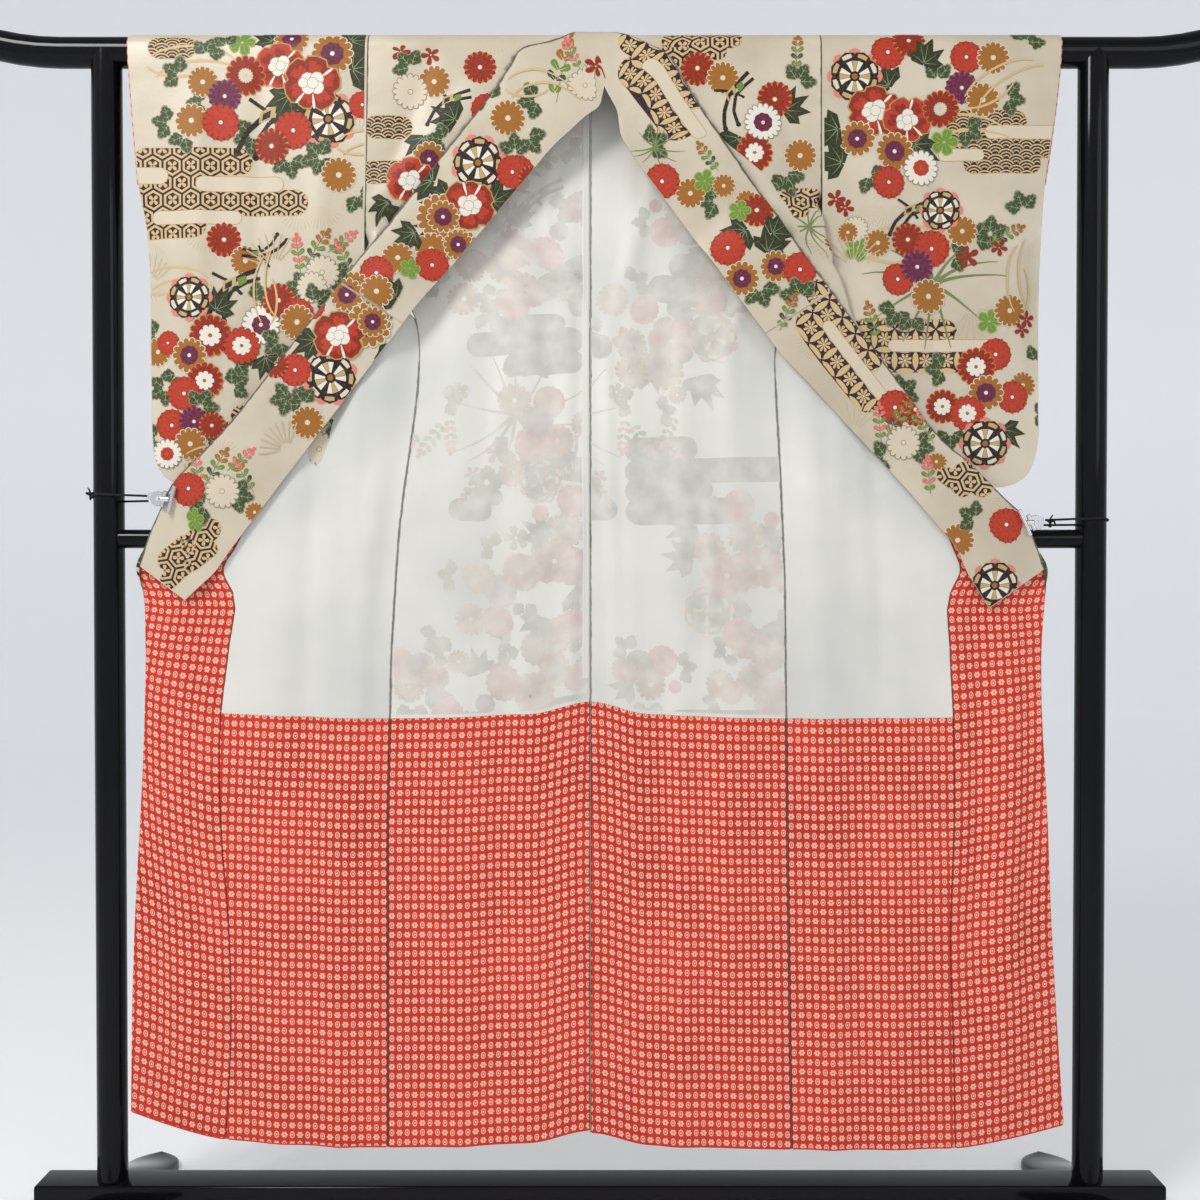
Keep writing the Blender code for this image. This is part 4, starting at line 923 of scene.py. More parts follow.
# Groups of motifs: name, x and y from the group's middle and reach in millimetres, turn in degrees if any
BOUQUETS = {
    "cart": [
        ("arcs", -150, 30, 65), ("fan", 90, -70, 46, 20), ("leaves", -166, 18, 28, 60),
        ("leaves", -128, 46, 27, -20), ("leaves", -182, -50, 27, 80), ("pair", -160, -68, 27, 150),
        ("leaves", -132, -22, 27, 90), ("round_leaf", -78, 64, 20), ("pair", -100, 58, 24, 10),
        ("jagged", 76, 66, 36, -50), ("jagged", 78, 26, 38, -80), ("jagged", -34, 66, 29, 30),
        ("leaves", -64, -66, 30, 110), ("leaves", -12, -100, 30, 190), ("leaves", 34, -98, 28, 160),
        ("shafts", -40, -44, 52), ("wheel", 44, -44, 38, 10), ("jagged", -10, -10, 34, 150),
        ("violet", -8, 70, 26), ("violet", 50, 48, 31), ("peony_light", -24, 30, 36),
        ("peony", 21, 6, 42, -10), ("ruby", -73, 17, 29), ("outline", -73, 17, 11), ("ochre", -134, 8, 23),
        ("purple", -103, -12, 24), ("amber", -150, -47, 25), ("coral", -109, -49, 27),
        ("coral", -6, -60, 28), ("brick", -37, -82, 26), ("coral", 92, -24, 20),
    ],
    "wheels": [
        ("arcs", -60, 66, 57), ("fan", -96, 70, 40), ("shafts", 26, 62, 44, 8), ("jagged", 4, 30, 29, -30),
        ("leaves", 62, 40, 33, -60), ("leaves", 128, 56, 27, 60), ("leaves", 116, 24, 27, -90),
        ("leaves", -84, -4, 26, 90), ("pair", -52, -60, 27, 140), ("leaves", 32, -40, 30, -90),
        ("jagged", 74, -36, 29, 200), ("leaves", -70, -80, 27, 120), ("leaves", 26, -78, 27, -60),
        ("outline", 142, 62, 23), ("wheel", -34, 48, 31), ("daisy", 68, 10, 29), ("brick", 94, 44, 25),
        ("coral", 122, 24, 24), ("ochre", -82, -28, 22), ("coral", -66, -16, 18), ("crown", -4, -6, 31),
        ("jewel", 40, -20, 27), ("violet", -34, -34, 26), ("crown", -12, -70, 27), ("coral", -42, -88, 25),
        ("ochre", 104, -50, 18),
    ],
    "peonies": [
        ("jagged", -34, -6, 31, 120), ("jagged", 40, 30, 34, -60), ("jagged", 52, -34, 36, -110),
        ("leaves", -44, -40, 30, 150), ("leaves", 10, 62, 27), ("wheel", -12, -58, 36, 20),
        ("violet", 12, 58, 25), ("violet", 42, 16, 33), ("peony", 0, 0, 38), ("coral", -62, -48, 24),
        ("brick", -90, -40, 20), ("amber", 54, 62, 24), ("coral", -40, 44, 22),
        ("leaves", -66, -76, 27, 190),
    ],
    "grass": [
        ("blades", 6, -26, 104), ("arcs", -30, 20, 78), ("shafts", -28, 74, 34),
        ("leaves", 62, 36, 33, -40), ("leaves", 84, 44, 27, -70), ("leaves", -46, -62, 30, 150),
        ("pair", -26, -72, 27, 180), ("leaves", 34, 14, 27, -90), ("round_leaf", -104, 24, 20),
        ("outline", -108, 50, 19), ("ochre", -76, 30, 20), ("ochre", -118, 46, 15),
        ("sprig", 108, 44, 26, -60), ("red_tip", 98, 24, 12, 60), ("red_tip", 54, 12, 17, 30),
        ("amber", 46, 48, 22), ("wheel", 15, 78, 29), ("brick", -32, 36, 24), ("coral", 3, 24, 27),
        ("coral", -46, -20, 24), ("purple", -18, -2, 24), ("amber", -2, -44, 26), ("fan", 60, -60, 43, 200),
    ],
    "sprays": [
        ("fan", -70, 10, 46, 15), ("sprig", -10, 34, 30, -30), ("pink_sprig", -36, 26, 26, 10),
        ("sprig", 30, 20, 26, 30), ("pink_sprig", 26, 44, 24, -50), ("leaves", 18, -6, 27, -100),
        ("leaves", -24, -20, 27, 100), ("outline", 0, 0, 25), ("amber", 44, -30, 14),
        ("round_leaf", -44, -36, 15),
    ],
    "single": [("leaves", -26, 24, 30, 40), ("leaves", 26, -26, 30, 220), ("ochre", 0, 0, 26),
               ("arcs", 46, 40, 52)],
    "posy": [
        ("leaves", -40, 10, 28, 80), ("leaves", 34, 30, 28, -50), ("leaves", 6, -42, 28, 180),
        ("jagged", 30, -20, 29, -100), ("coral", -14, 20, 24), ("purple", 18, 14, 22),
        ("amber", 2, -14, 24), ("snow", -34, -16, 22), ("brick", 40, 0, 20),
    ],
    "garden": [
        ("arcs", 60, -40, 68), ("leaves", 154, 93, 30, -30), ("leaves", 128, 14, 28, -100),
        ("pair", 30, 40, 27), ("jagged", -107, -78, 34, 67), ("jagged", -40, 30, 34, 45),
        ("jagged", -4, -52, 34, -120), ("leaves", -70, -96, 28, 225), ("leaves", 70, -30, 27, -120),
        ("round_leaf", 40, -48, 20), ("coral", -41, 78, 25), ("brick", -11, 95, 24), ("coral", 70, 71, 24),
        ("ochre", 108, 70, 24), ("purple", 64, 28, 24), ("amber", 94, 11, 25), ("wheel", -88, 44, 36),
        ("peony", -60, -6, 40), ("peony_light", -14, -18, 36, 30), ("ruby", 34, -1, 27),
        ("outline", 34, -1, 10), ("violet", -85, -44, 26), ("violet", -32, -62, 28), ("snow", 6, -85, 26),
        ("coral", -41, -106, 24), ("jagged", -112, -30, 34, 100), ("jagged", 10, 62, 30, -20),
        ("arcs", 120, 30, 60, 30),
    ],
    "low_wheels": [
        ("leaves", -50, 30, 28, 90), ("leaves", 84, 40, 27, -40), ("jagged", 34, -56, 29, 224),
        ("leaves", -40, -60, 28, 180), ("pair", 80, -34, 27, -90), ("round_leaf", 14, 97, 18),
        ("ochre", 43, 112, 24), ("red_tip", 70, 101, 13, 20), ("red_tip", 62, 86, 12, 60),
        ("ochre", 64, 7, 20), ("coral", 48, -10, 24), ("coral", 23, 50, 24), ("crown", -4, 33, 28),
        ("violet", 10, -4, 26), ("crown", -51, -23, 25), ("jewel", -16, -33, 26), ("wheel", 9, -76, 34),
    ],
}
CLOUDS = {
    "tall_hexagons": ("hexagons", [(-0.125, 0.045, 0.030, 0.019), (-0.125, 0.000, 0.000, 0.020),
                                   (-0.125, 0.125, -0.028, 0.018), (-0.125, -0.020, -0.060, 0.018)],
                      [(-0.140, -0.075, 0.010, 0.012), (-0.035, 0.090, -0.002, 0.011),
                       (-0.100, 0.030, -0.049, 0.010)]),
    "long_waves": ("waves", [(-0.085, 0.030, 0.022, 0.017), (-0.085, 0.085, -0.010, 0.018),
                             (-0.060, 0.050, -0.036, 0.014)],
                   [(-0.030, 0.100, 0.008, 0.010), (-0.095, -0.030, -0.024, 0.009)]),
    "long_lattice": ("lattice", [(-0.095, 0.060, 0.024, 0.020), (-0.070, 0.100, -0.012, 0.020)],
                     [(-0.040, 0.110, 0.006, 0.009)]),
    "small_hexagons": ("hexagons", [(-0.030, 0.032, 0.006, 0.016), (-0.045, 0.010, -0.014, 0.012)], []),
    "small_waves": ("waves", [(-0.034, 0.034, 0.0, 0.016)], []),
}


# Motifs of the shown fronts: name, x and z in millimetres, turn in degrees, reach of a single motif
FRONT_PRINT = {
    "sleeve_left": [
        ("tall_hexagons", -538, 1497), ("small_waves", -606, 1688), ("cart", -429, 1631),
        ("single", -370.5, 1508), ("brick", -534, 1417, 0, 25), ("ochre", -505, 1388, 0, 22),
        ("shafts", -480, 1400, 160, 30), ("sprays", -394, 1370), ("wheels", -549.6, 1287),
        ("single", -430, 1300, 90), ("small_hexagons", -496, 1161), ("posy", -590, 1140, 20),
        ("pink_sprig", -440, 1190, 30, 26), ("sprays", -400, 1120, 40), ("arcs", -540, 1100, 0, 57),
    ],
    "sleeve_right": [
        ("long_waves", 575, 1560.5), ("long_lattice", 449, 1261), ("garden", 449, 1603),
        ("red_tip", 335, 1474, 0, 14), ("red_tip", 348, 1462, 60, 13), ("grass", 469, 1381),
        ("low_wheels", 539, 1204), ("sprig", 385, 1300, 20, 26), ("posy", 395, 1170),
        ("fan", 360, 1380, 0, 43), ("arcs", 600, 1360, 90, 52), ("leaves", 600, 1460, 20, 28),
    ],
    "body_left": [
        ("jagged", -205, 1585, 60, 32), ("jagged", -250, 1560, 170, 32), ("jagged", -185, 1500, -120, 30),
        ("small_waves", -300, 1576), ("small_waves", -306, 1512), ("red_tip", -282, 1682, 0, 14),
        ("red_tip", -240, 1678, 40, 14), ("shafts", -214, 1610, 0, 34), ("leaves", -268, 1660, 40, 28),
        ("amber", -235, 1640, 0, 24), ("outline", -269, 1626, 0, 26), ("leaves", -220, 1556, 80, 27),
        ("violet", -242, 1529, 0, 26), ("peony_light", -269, 1499, 0, 36), ("coral", -214, 1480, 0, 24),
        ("brick", -170, 1660, 0, 24), ("coral", -160, 1600, 0, 24), ("jagged", -300, 1470, 150, 27),
    ],
    "body_right": [
        ("jagged", 195, 1560, 150, 32), ("jagged", 262, 1600, -60, 32), ("leaves", 262, 1510, 200, 30),
        ("small_hexagons", 117, 1690), ("small_hexagons", 170, 1697), ("brick", 138, 1659, 0, 25),
        ("ochre", 174, 1645, 0, 24), ("shafts", 190, 1620, 30, 38), ("brick", 248, 1616, 0, 26),
        ("leaves", 280, 1640, -30, 28), ("daisy", 231, 1582, 0, 28), ("crown", 219, 1539, 0, 27),
        ("ochre", 284, 1536, 0, 24), ("sprig", 278, 1682, 0, 24), ("small_hexagons", 284, 1468),
        ("blades", 295, 1430, 40, 50), ("ochre", 318, 1399, 0, 22),
    ],
    "collar_left": [
        ("jagged", -150, 1515, 150, 32), ("jagged", -215, 1475, 100, 32), ("jagged", -335, 1310, 140, 32),
        ("sprig", -60, 1655, -20, 40), ("leaves", -88, 1612, 100, 30), ("pink_sprig", -40, 1676, 30, 24),
        ("outline", -21, 1633, 0, 24), ("red_tip", -6, 1660, 0, 15), ("single", -130, 1586),
        ("coral", -117, 1511, 0, 25), ("peonies", -185, 1464, 180), ("violet", -222, 1447, 0, 24),
        ("violet", -201, 1409, 0, 22), ("coral", -238, 1379, 0, 25), ("jagged", -262, 1425, 120, 29),
        ("amber", -285, 1387, 0, 24), ("round_leaf", -268, 1372, 0, 15), ("coral", -314, 1365, 0, 25),
        ("jagged", -288, 1332, 60, 29), ("violet", -346, 1344, 0, 24), ("peonies", -367.7, 1277),
        ("violet", -320, 1297, 0, 22), ("leaves", -418, 1181, 30, 27), ("ochre", -413, 1156, 0, 24),
        ("fan", -441, 1118, 40, 40), ("leaves", -440, 1190, 100, 27), ("sprays", -533, 1059),
        ("coral", -581, 1063, 0, 24), ("small_hexagons", -596, 965, 40), ("small_hexagons", -560, 990, 40),
    ],
    "collar_right": [
        ("jagged", 205, 1425, 120, 32), ("jagged", 235, 1395, -30, 32), ("leaves", 165, 1470, 90, 30),
        ("leaves", 225, 1345, 200, 30), ("long_lattice", 85, 1640, -60), ("leaves", 70, 1548, -60, 30),
        ("blades", 78, 1546, 180, 42), ("coral", 88, 1498, 0, 26), ("amber", 128, 1481, 0, 22),
        ("round_leaf", 148, 1498, 0, 17), ("sprig", 152, 1530, 40, 24), ("amber", 175, 1491, 0, 17),
        ("amber", 207, 1468, 0, 17), ("brick", 221, 1454, 0, 25), ("round_leaf", 197, 1454, 0, 17),
        ("coral", 180, 1401, 0, 26), ("jagged", 242, 1421, -60, 29), ("violet", 200, 1358, 0, 25),
        ("violet", 247, 1374, 0, 23), ("coral", 281, 1370, 0, 25), ("leaves", 281, 1331, 20, 30),
        ("sprig", 262, 1310, -20, 26), ("long_lattice", 336, 1262, -52), ("coral", 416, 1177, 0, 26),
        ("brick", 445, 1174, 0, 24), ("sprays", 427.5, 1127), ("pink_sprig", 462, 1080, 10, 26),
        ("small_hexagons", 523, 1072, -40), ("coral", 574, 1012, 0, 25), ("ochre", 506, 990, 0, 24),
        ("wheel", 559, 926, 0, 34), ("leaves", 530, 1020, 60, 27),
    ],
}
# One repeat of the printed bolt for all that the front view hides: name, across, along, turn
BOLT = (0.360, 0.660)
REPEAT = [
    ("tall_hexagons", 0.235, 0.215), ("long_waves", 0.100, 0.415), ("long_lattice", 0.250, 0.520),
    ("garden", 0.160, 0.090), ("small_hexagons", 0.045, 0.190), ("grass", 0.110, 0.300, 30),
    ("sprays", 0.325, 0.320), ("peonies", 0.290, 0.430, 90), ("single", 0.030, 0.490),
    ("wheels", 0.150, 0.575, 180), ("posy", 0.330, 0.610),
]


PRINT_OFFSET = 0.00012
MOTIF_STEP = 0.00011
LIFT_STEP = 0.00002
ORDER_STEP = 0.0000012
PALETTE_SIDE = 5
EDGE_KEEP = 0.15
COLLAR_KEEP = 2.0
CHUNK = 40000
BOLT_REACH = 25
TOUCH_SHARE = 0.92
LEAST_STRETCH = 0.25
MOST_STRETCH = 2.5
PALETTE_DOT = 0.42
# How much of a round flower's reach hides what lies below it
COVERED_SHARE = {
    "coral": 0.88, "brick": 0.88, "purple": 0.88, "wheel": 0.80, "crown": 0.62, "jewel": 0.62, "ruby": 0.60,
    "peony": 0.60, "peony_light": 0.60, "violet": 0.58, "snow": 0.58, "daisy": 0.58, "ochre": 0.50,
    "amber": 0.50,
}


def filled(row, columns):
    """A table's row with noughts for the columns it leaves out."""
    return (*row, *[0] * (columns - len(row)))


def flat_place(u, v, turn, x, y):
    """The flat place that lies x and y in the world's directions from u and v."""
    return u + turn[0][0] * x + turn[0][1] * y, v + turn[1][0] * x + turn[1][1] * y


def cut(points, axis, at):
    """Both parts of a convex shape on either side of a grid line."""
    low, high = [], []
    for p, q in zip(points, points[1:] + points[:1]):
        a, b = p[axis] - at, q[axis] - at
        if a <= 0:
            low.append(p)
        if a >= 0:
            high.append(p)
        if a * b < 0:
            t = a / (a - b)
            cross = tuple(m + (n - m) * t for m, n in zip(p, q))
            low.append(cross)
            high.append(cross)
    return low, high


def cells_of(points, axis):
    """A convex shape cut along every grid line it crosses."""
    values = [p[axis] for p in points]
    found = []
    for line in range(math.floor(min(values)) + 1, math.ceil(max(values))):
        low, points = cut(points, axis, line)
        if len(low) > 2:
            found.append(low)
        if len(points) < 3:
            return found
    return found + [points]


class Print:
    """Printed shapes of one panel of cloth, kept flat until the mesh is made."""

    def __init__(self, cloth, neck_row=None):
        self.cloth = cloth
        self.neck_row = neck_row
        self.last_column = cloth.grid.shape[1] - 1
        self.shapes = []
        self.placed = []
        self.covers = []

    def frame_at(self, x, z, rows):
        """Flat place of a world point on the given rows, and the turn from world to flat directions."""
        grid = self.cloth.grid[rows[0]:rows[1], :self.last_column + 1]
        distance = (grid[..., 0] - x) ** 2 + (grid[..., 2] - z) ** 2
        r, c = np.unravel_index(int(np.argmin(distance)), distance.shape)
        r = min(max(int(r) + rows[0], 1), len(self.cloth.grid) - 2)
        c = min(max(int(c), 1), self.last_column - 1)
        along, ease = self.stretch(r, c)
        left, _, right = np.linalg.svd((along @ ease)[[0, 2]])
        turn = ease @ (left @ right).T
        offset = turn @ np.array([x - self.cloth.grid[r, c][0], z - self.cloth.grid[r, c][2]])
        return self.cloth.u[r, c] + float(offset[0]), self.cloth.v[r] + float(offset[1]), turn

    def stretch(self, r, c):
        """Directions of the flat axes at a grid place, and what undoes the grid's own stretch there."""
        g, u, v = self.cloth.grid, self.cloth.u, self.cloth.v
        across = (g[r, c + 1] - g[r, c - 1]) / max(u[r, c + 1] - u[r, c - 1], 1e-6)
        down = g[r + 1, c] - g[r - 1, c] - (u[r + 1, c] - u[r - 1, c]) * across
        along = np.stack([across, down / max(v[r + 1] - v[r - 1], 1e-6)], axis=1)
        values, axes = np.linalg.eigh(along.T @ along)
        return along, axes @ np.diag(1 / np.sqrt(np.clip(values, LEAST_STRETCH, MOST_STRETCH))) @ axes.T

    def level_for(self, u, v, reach):
        above = [level for pu, pv, size, level in self.placed
                 if math.hypot(pu - u, pv - v) < (size + reach) * TOUCH_SHARE]
        level = 1 + max(above, default=0)
        self.placed.append((u, v, reach, level))
        return level

    def shape(self, u, v, turn, angle, size, motif, base):
        """The motif's shapes turned and sized on the flat cloth, each at its own height over the base."""
        c, s = math.cos(angle), math.sin(angle)
        for points, ink, height in motif:
            flat = []
            for px, py in points:
                wx, wy = (c * px - s * py) * size, (s * px + c * py) * size
                flat.append(flat_place(u, v, turn, wx, wy))
            self.shapes.append((flat, ink, base, height))

    def place(self, name, u, v, turn, angle, reach):
        """One motif, group of motifs or cloud with its middle at a flat place."""
        angle = math.radians(angle)
        if name in CLOUDS:
            self.shape(u, v, turn, angle, 1.0, CLOUD_SHAPES[name], 0.0)
        elif name in BOUQUETS:
            c, s = math.cos(angle), math.sin(angle)
            for row in BOUQUETS[name]:
                stamp, x, y, size, own = filled(row, 5)
                x, y, size = x / 1000, y / 1000, size / 1000
                at_u, at_v = flat_place(u, v, turn, c * x - s * y, s * x + c * y)
                self.one(stamp, at_u, at_v, turn, angle + math.radians(own), size)
        else:
            self.one(name, u, v, turn, angle, reach / 1000)

    def one(self, stamp, u, v, turn, angle, size):
        base = self.level_for(u, v, size) * MOTIF_STEP
        self.shape(u, v, turn, angle, size, STAMPS[stamp], base)
        if stamp in COVERED_SHARE:
            self.covers.append((u, v, size * COVERED_SHARE[stamp], base))

    def seen(self, shapes):
        """The shapes that no higher round flower hides."""
        if not self.covers:
            return shapes
        middle = np.array([np.mean(shape[0], axis=0) for shape in shapes])
        reach = np.array([np.max(np.hypot(*(np.array(shape[0]) - m).T))
                          for shape, m in zip(shapes, middle)])
        base = np.array([shape[2] for shape in shapes])
        hidden = np.zeros(len(shapes), dtype=bool)
        for u, v, radius, height in self.covers:
            inside = np.hypot(middle[:, 0] - u, middle[:, 1] - v) + reach < radius
            hidden |= inside & (base < height - 1e-6)
        return [shape for shape, away in zip(shapes, hidden) if not away]

    def fill(self, first, last, shift):
        """The bolt's own repeat over a stretch of the panel."""
        wide, tall = BOLT
        for k in range(math.floor(first / tall) - 1, math.ceil(last / tall) + 1):
            for row in REPEAT:
                name, across, along_v, angle = filled(row, 4)
                v = (k + shift[1]) * tall + along_v
                if first <= v < last:
                    u = (across + shift[0] * wide) % wide
                    r = int(np.clip(np.searchsorted(self.cloth.v, v), 1, len(self.cloth.v) - 2))
                    c = int(np.clip(np.searchsorted(self.cloth.u[r], u), 1, self.last_column - 1))
                    self.place(name, u, v, self.stretch(r, c)[1], angle + 180 * (k % 2), BOLT_REACH)

    def to_grid(self, flat):
        """Grid column and row of flat points."""
        u, v = flat[:, 0], flat[:, 1]
        rows = np.interp(v, self.cloth.v, np.arange(len(self.cloth.v)))
        low = np.clip(rows.astype(int), 0, len(self.cloth.v) - 2)
        t = (rows - low)[:, None]
        at = self.cloth.u[low] * (1 - t) + self.cloth.u[low + 1] * t
        last = at.shape[1] - 2
        k = np.clip((at <= u[:, None]).sum(axis=1) - 1, 0, last)
        picked = np.arange(len(u))
        gap = np.maximum(at[picked, k + 1] - at[picked, k], 1e-7)
        columns = k + np.clip((u - at[picked, k]) / gap, -1.0, 2.0)
        return columns, rows

    def build(self, name, inks, offset, direction, look_name, slot, rows=None, flatness=1.0):
        """The mesh of all shapes, each lying on the panel's surface at its own tiny height."""
        shapes = self.seen([shape for shape in self.shapes if shape[1] in inks])
        sizes = [len(shape[0]) for shape in shapes]
        flat = np.array([p for shape in shapes for p in shape[0]])
        columns, grid_rows = [], []
        for start in range(0, len(flat), CHUNK):
            c, r = self.to_grid(flat[start:start + CHUNK])
            columns.append(c)
            grid_rows.append(r)
        columns, grid_rows = np.concatenate(columns), np.concatenate(grid_rows)
        limit = (rows or (0, len(self.cloth.grid) - 1))
        params, heights, ink_of, counts = [], [], [], []
        start = 0
        for size, (_, ink, base, height) in zip(sizes, shapes):
            c, r = columns[start:start + size], grid_rows[start:start + size]
            points = list(zip(c.tolist(), r.tolist(), (c - r).tolist()))
            start += size
            for part in self.inside(points, limit):
                for strip_part in cells_of(part, 1):
                    for cell in cells_of(strip_part, 0):
                        for half in cells_of(cell, 2):
                            params += half
                            heights.append((PRINT_OFFSET + base) * flatness + height)
                            ink_of.append(ink)
                            counts.append(len(half))
        obj = self.mesh(name, np.array(params), np.array(heights), ink_of, np.array(counts), inks, offset,
                        direction)
        obj.data.materials.append(LOOKS[look_name])
        return obj

    def inside(self, points, limit):
        """The shape cut to the panel's own edges."""
        narrow = self.cloth.narrow
        _, points = cut(points, 0, EDGE_KEEP)
        if len(points) > 2:
            _, points = cut(points, 1, limit[0] + EDGE_KEEP)
        if len(points) > 2:
            points, _ = cut(points, 1, limit[1] - EDGE_KEEP)
        if len(points) > 2:
            points, _ = cut(points, 0, self.last_column - EDGE_KEEP)
        if len(points) < 3:
            return []
        if narrow is None or narrow >= limit[1]:
            return [points]
        upper, lower = cut(points, 1, narrow)
        if self.neck_row is not None and len(upper) > 2:
            behind, upper = cut(upper, 1, self.neck_row)
            # print kept off the strip beside the collar, where the painted shadow of the collar lies
            upper, _ = cut(upper, 0, self.last_column - COLLAR_KEEP) if len(upper) > 2 else ([], [])
            return [part for part in (behind, upper) + self.low_part(lower) if len(part) > 2]
        return [part for part in (upper,) + self.low_part(lower) if len(part) > 2]

    def low_part(self, points):
        """What lies on the narrower part of the panel below the okumi's top."""
        return (cut(points, 0, self.cloth.seam - EDGE_KEEP)[0],) if len(points) > 2 else ()

    def mesh(self, name, params, heights, ink_of, counts, inks, offset, direction):
        grid, normal = self.cloth.grid, self.cloth.normal
        c, r = params[:, 0], params[:, 1]
        face_of = np.repeat(np.arange(len(counts)), counts)
        middle = np.stack([np.bincount(face_of, c) / counts, np.bincount(face_of, r) / counts],
                          axis=1)[face_of]
        i = np.clip(middle[:, 1].astype(int), 0, grid.shape[0] - 2)
        j = np.clip(middle[:, 0].astype(int), 0, grid.shape[1] - 2)
        s, t = (r - i)[:, None], (c - j)[:, None]

        def at(values):
            a, b, d, e = values[i, j], values[i, j + 1], values[i + 1, j], values[i + 1, j + 1]
            return np.where(lower, a + (d - a) * s + (e - d) * t, a + (b - a) * t + (e - b) * s)

        lower = (middle[:, 0] - j < middle[:, 1] - i)[:, None]
        up = unit(at(normal))
        height = np.repeat(heights, counts)[:, None]
        places = at(grid) + up * (offset + direction * height)
        ends = np.cumsum(counts)
        starts = ends - counts
        following = np.arange(len(places)) + 1
        following[ends - 1] = starts
        area = np.cross(places - places[starts][face_of], places[following] - places[starts][face_of])
        towards = np.add.reduceat(np.einsum("ij,ij->i", area, up), starts) * direction
        faces = [list(range(a, b)) if keep >= 0 else list(range(b - 1, a - 1, -1))
                 for a, b, keep in zip(starts.tolist(), ends.tolist(), towards.tolist())]
        mesh = bpy.data.meshes.new(name)
        mesh.from_pydata(places.tolist(), [], faces)
        mesh.polygons.foreach_set("use_smooth", [True] * len(faces))
        loops = np.zeros(len(mesh.loops), dtype=np.int32)
        mesh.loops.foreach_get("vertex_index", loops)
        names = sorted(inks)
        number = np.array([names.index(ink) for ink in ink_of])[face_of]
        colours = np.array([(*inks[n], 1.0) for n in names])[number]
        coloured = mesh.color_attributes.new("ink", "FLOAT_COLOR", "CORNER")
        coloured.data.foreach_set("color", colours[loops].ravel())
        turn_share = (np.arange(len(face_of)) - starts[face_of]) / counts[face_of] * 2 * math.pi
        cell = 1.0 / PALETTE_SIDE
        uv = np.stack([(number % PALETTE_SIDE + 0.5 + PALETTE_DOT * np.cos(turn_share)) * cell,
                       (number // PALETTE_SIDE + 0.5 + PALETTE_DOT * np.sin(turn_share)) * cell], axis=1)
        mesh.uv_layers.new(name="OFBake").data.foreach_set("uv", uv[loops].astype(np.float32).ravel())
        cloth_uv = np.stack([at(self.cloth.u[..., None])[:, 0],
                             np.interp(r, np.arange(len(self.cloth.v)), self.cloth.v)],
                            axis=1)
        mesh.uv_layers.new(name="cloth").data.foreach_set("uv", cloth_uv[loops].astype(np.float32).ravel())
        mesh.normals_split_custom_set_from_vertices((up * direction).tolist())
        obj = set_out(name, mesh)
        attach(obj, "root")
        return obj


def stacked(shapes):
    """The shapes from the lowest up, each a little higher than the last."""
    ranked = sorted(shapes, key=lambda shape: shape[2])
    return [(points, ink, order * ORDER_STEP) for order, (points, ink, _) in enumerate(ranked)]


STAMPS = {name: stacked(shapes) for name, shapes in stamps().items()}
CLOUD_SHAPES = {name: [(points, ink, lift * LIFT_STEP) for points, ink, lift in cloud(*rows)]
                for name, rows in CLOUDS.items()}


# Materials
class Nodes:
    """Short calls that put nodes into one tree."""

    def __init__(self, tree):
        self.tree = tree

    def put(self, kind, values=(), **settings):
        node = self.tree.nodes.new("ShaderNode" + kind)
        for name, value in settings.items():
            setattr(node, name, value)
        for place, value in dict(values).items():
            if isinstance(value, bpy.types.NodeSocket):
                self.tree.links.new(value, node.inputs[place])
            else:
                node.inputs[place].default_value = value
        return node

    def math(self, operation, *values):
        return self.put("Math", enumerate(values), operation=operation).outputs[0]

    def noise(self, place, scale, detail=2.0):
        return self.put("TexNoise", {"Vector": place, "Scale": scale, "Detail": detail}).outputs[0]

    def ramp(self, value, low, high, start=0.0, end=1.0):
        return self.put("MapRange", {0: value, 1: low, 2: high, 3: start, 4: end}).outputs[0]

    def blend(self, share, first, second):
        """Colour between two colours."""
        return self.put("Mix", {0: share, 6: first, 7: second}, data_type="RGBA").outputs[2]


def new_group(name, inputs, output, kind):
    """A shader node group with named inputs and one output."""
    tree = bpy.data.node_groups.new(name, "ShaderNodeTree")
    for label, socket, value in inputs:
        made = tree.interface.new_socket(label, in_out="INPUT", socket_type="NodeSocket" + socket)
        if value is not None:
            made.default_value = value
    tree.interface.new_socket(output, in_out="OUTPUT", socket_type="NodeSocket" + kind)
    nodes = Nodes(tree)
    given = tree.nodes.new("NodeGroupInput").outputs
    return tree, nodes, given, tree.nodes.new("NodeGroupOutput").inputs[0]


def make_crepe():
    """Fine uneven crinkle of crepe silk, with its threads."""
    tree, n, given, out = new_group("crepe_grain", [
        ("Place", "Vector", None), ("Grain", "Float", 700.0), ("Ripple", "Float", 40.0),
    ], "Height", "Float")
    stretched = n.put("VectorMath", {0: given["Place"], 1: (1.0, 0.35, 1.0)},
                      operation="MULTIPLY").outputs[0]
    fine = n.noise(stretched, given["Grain"])
    broad = n.noise(given["Place"], given["Ripple"], 3.0)
    tree.links.new(n.math("MULTIPLY_ADD", broad, 3.0, fine), out)
    return tree


def make_tone():
    """Slow change of tone across hand-dyed cloth."""
    tree, n, given, out = new_group("dye_tone", [
        ("Place", "Vector", None), ("Ground", "Color", (1, 1, 1, 1)), ("Deeper", "Color", (1, 1, 1, 1)),
        ("Size", "Float", 5.0),
    ], "Color", "Color")
    cloud = n.noise(given["Place"], given["Size"], 4.0)
    share = n.ramp(cloud, 0.35, 0.70, 0.0, 1.0)
    tree.links.new(n.blend(share, given["Ground"], given["Deeper"]), out)
    return tree


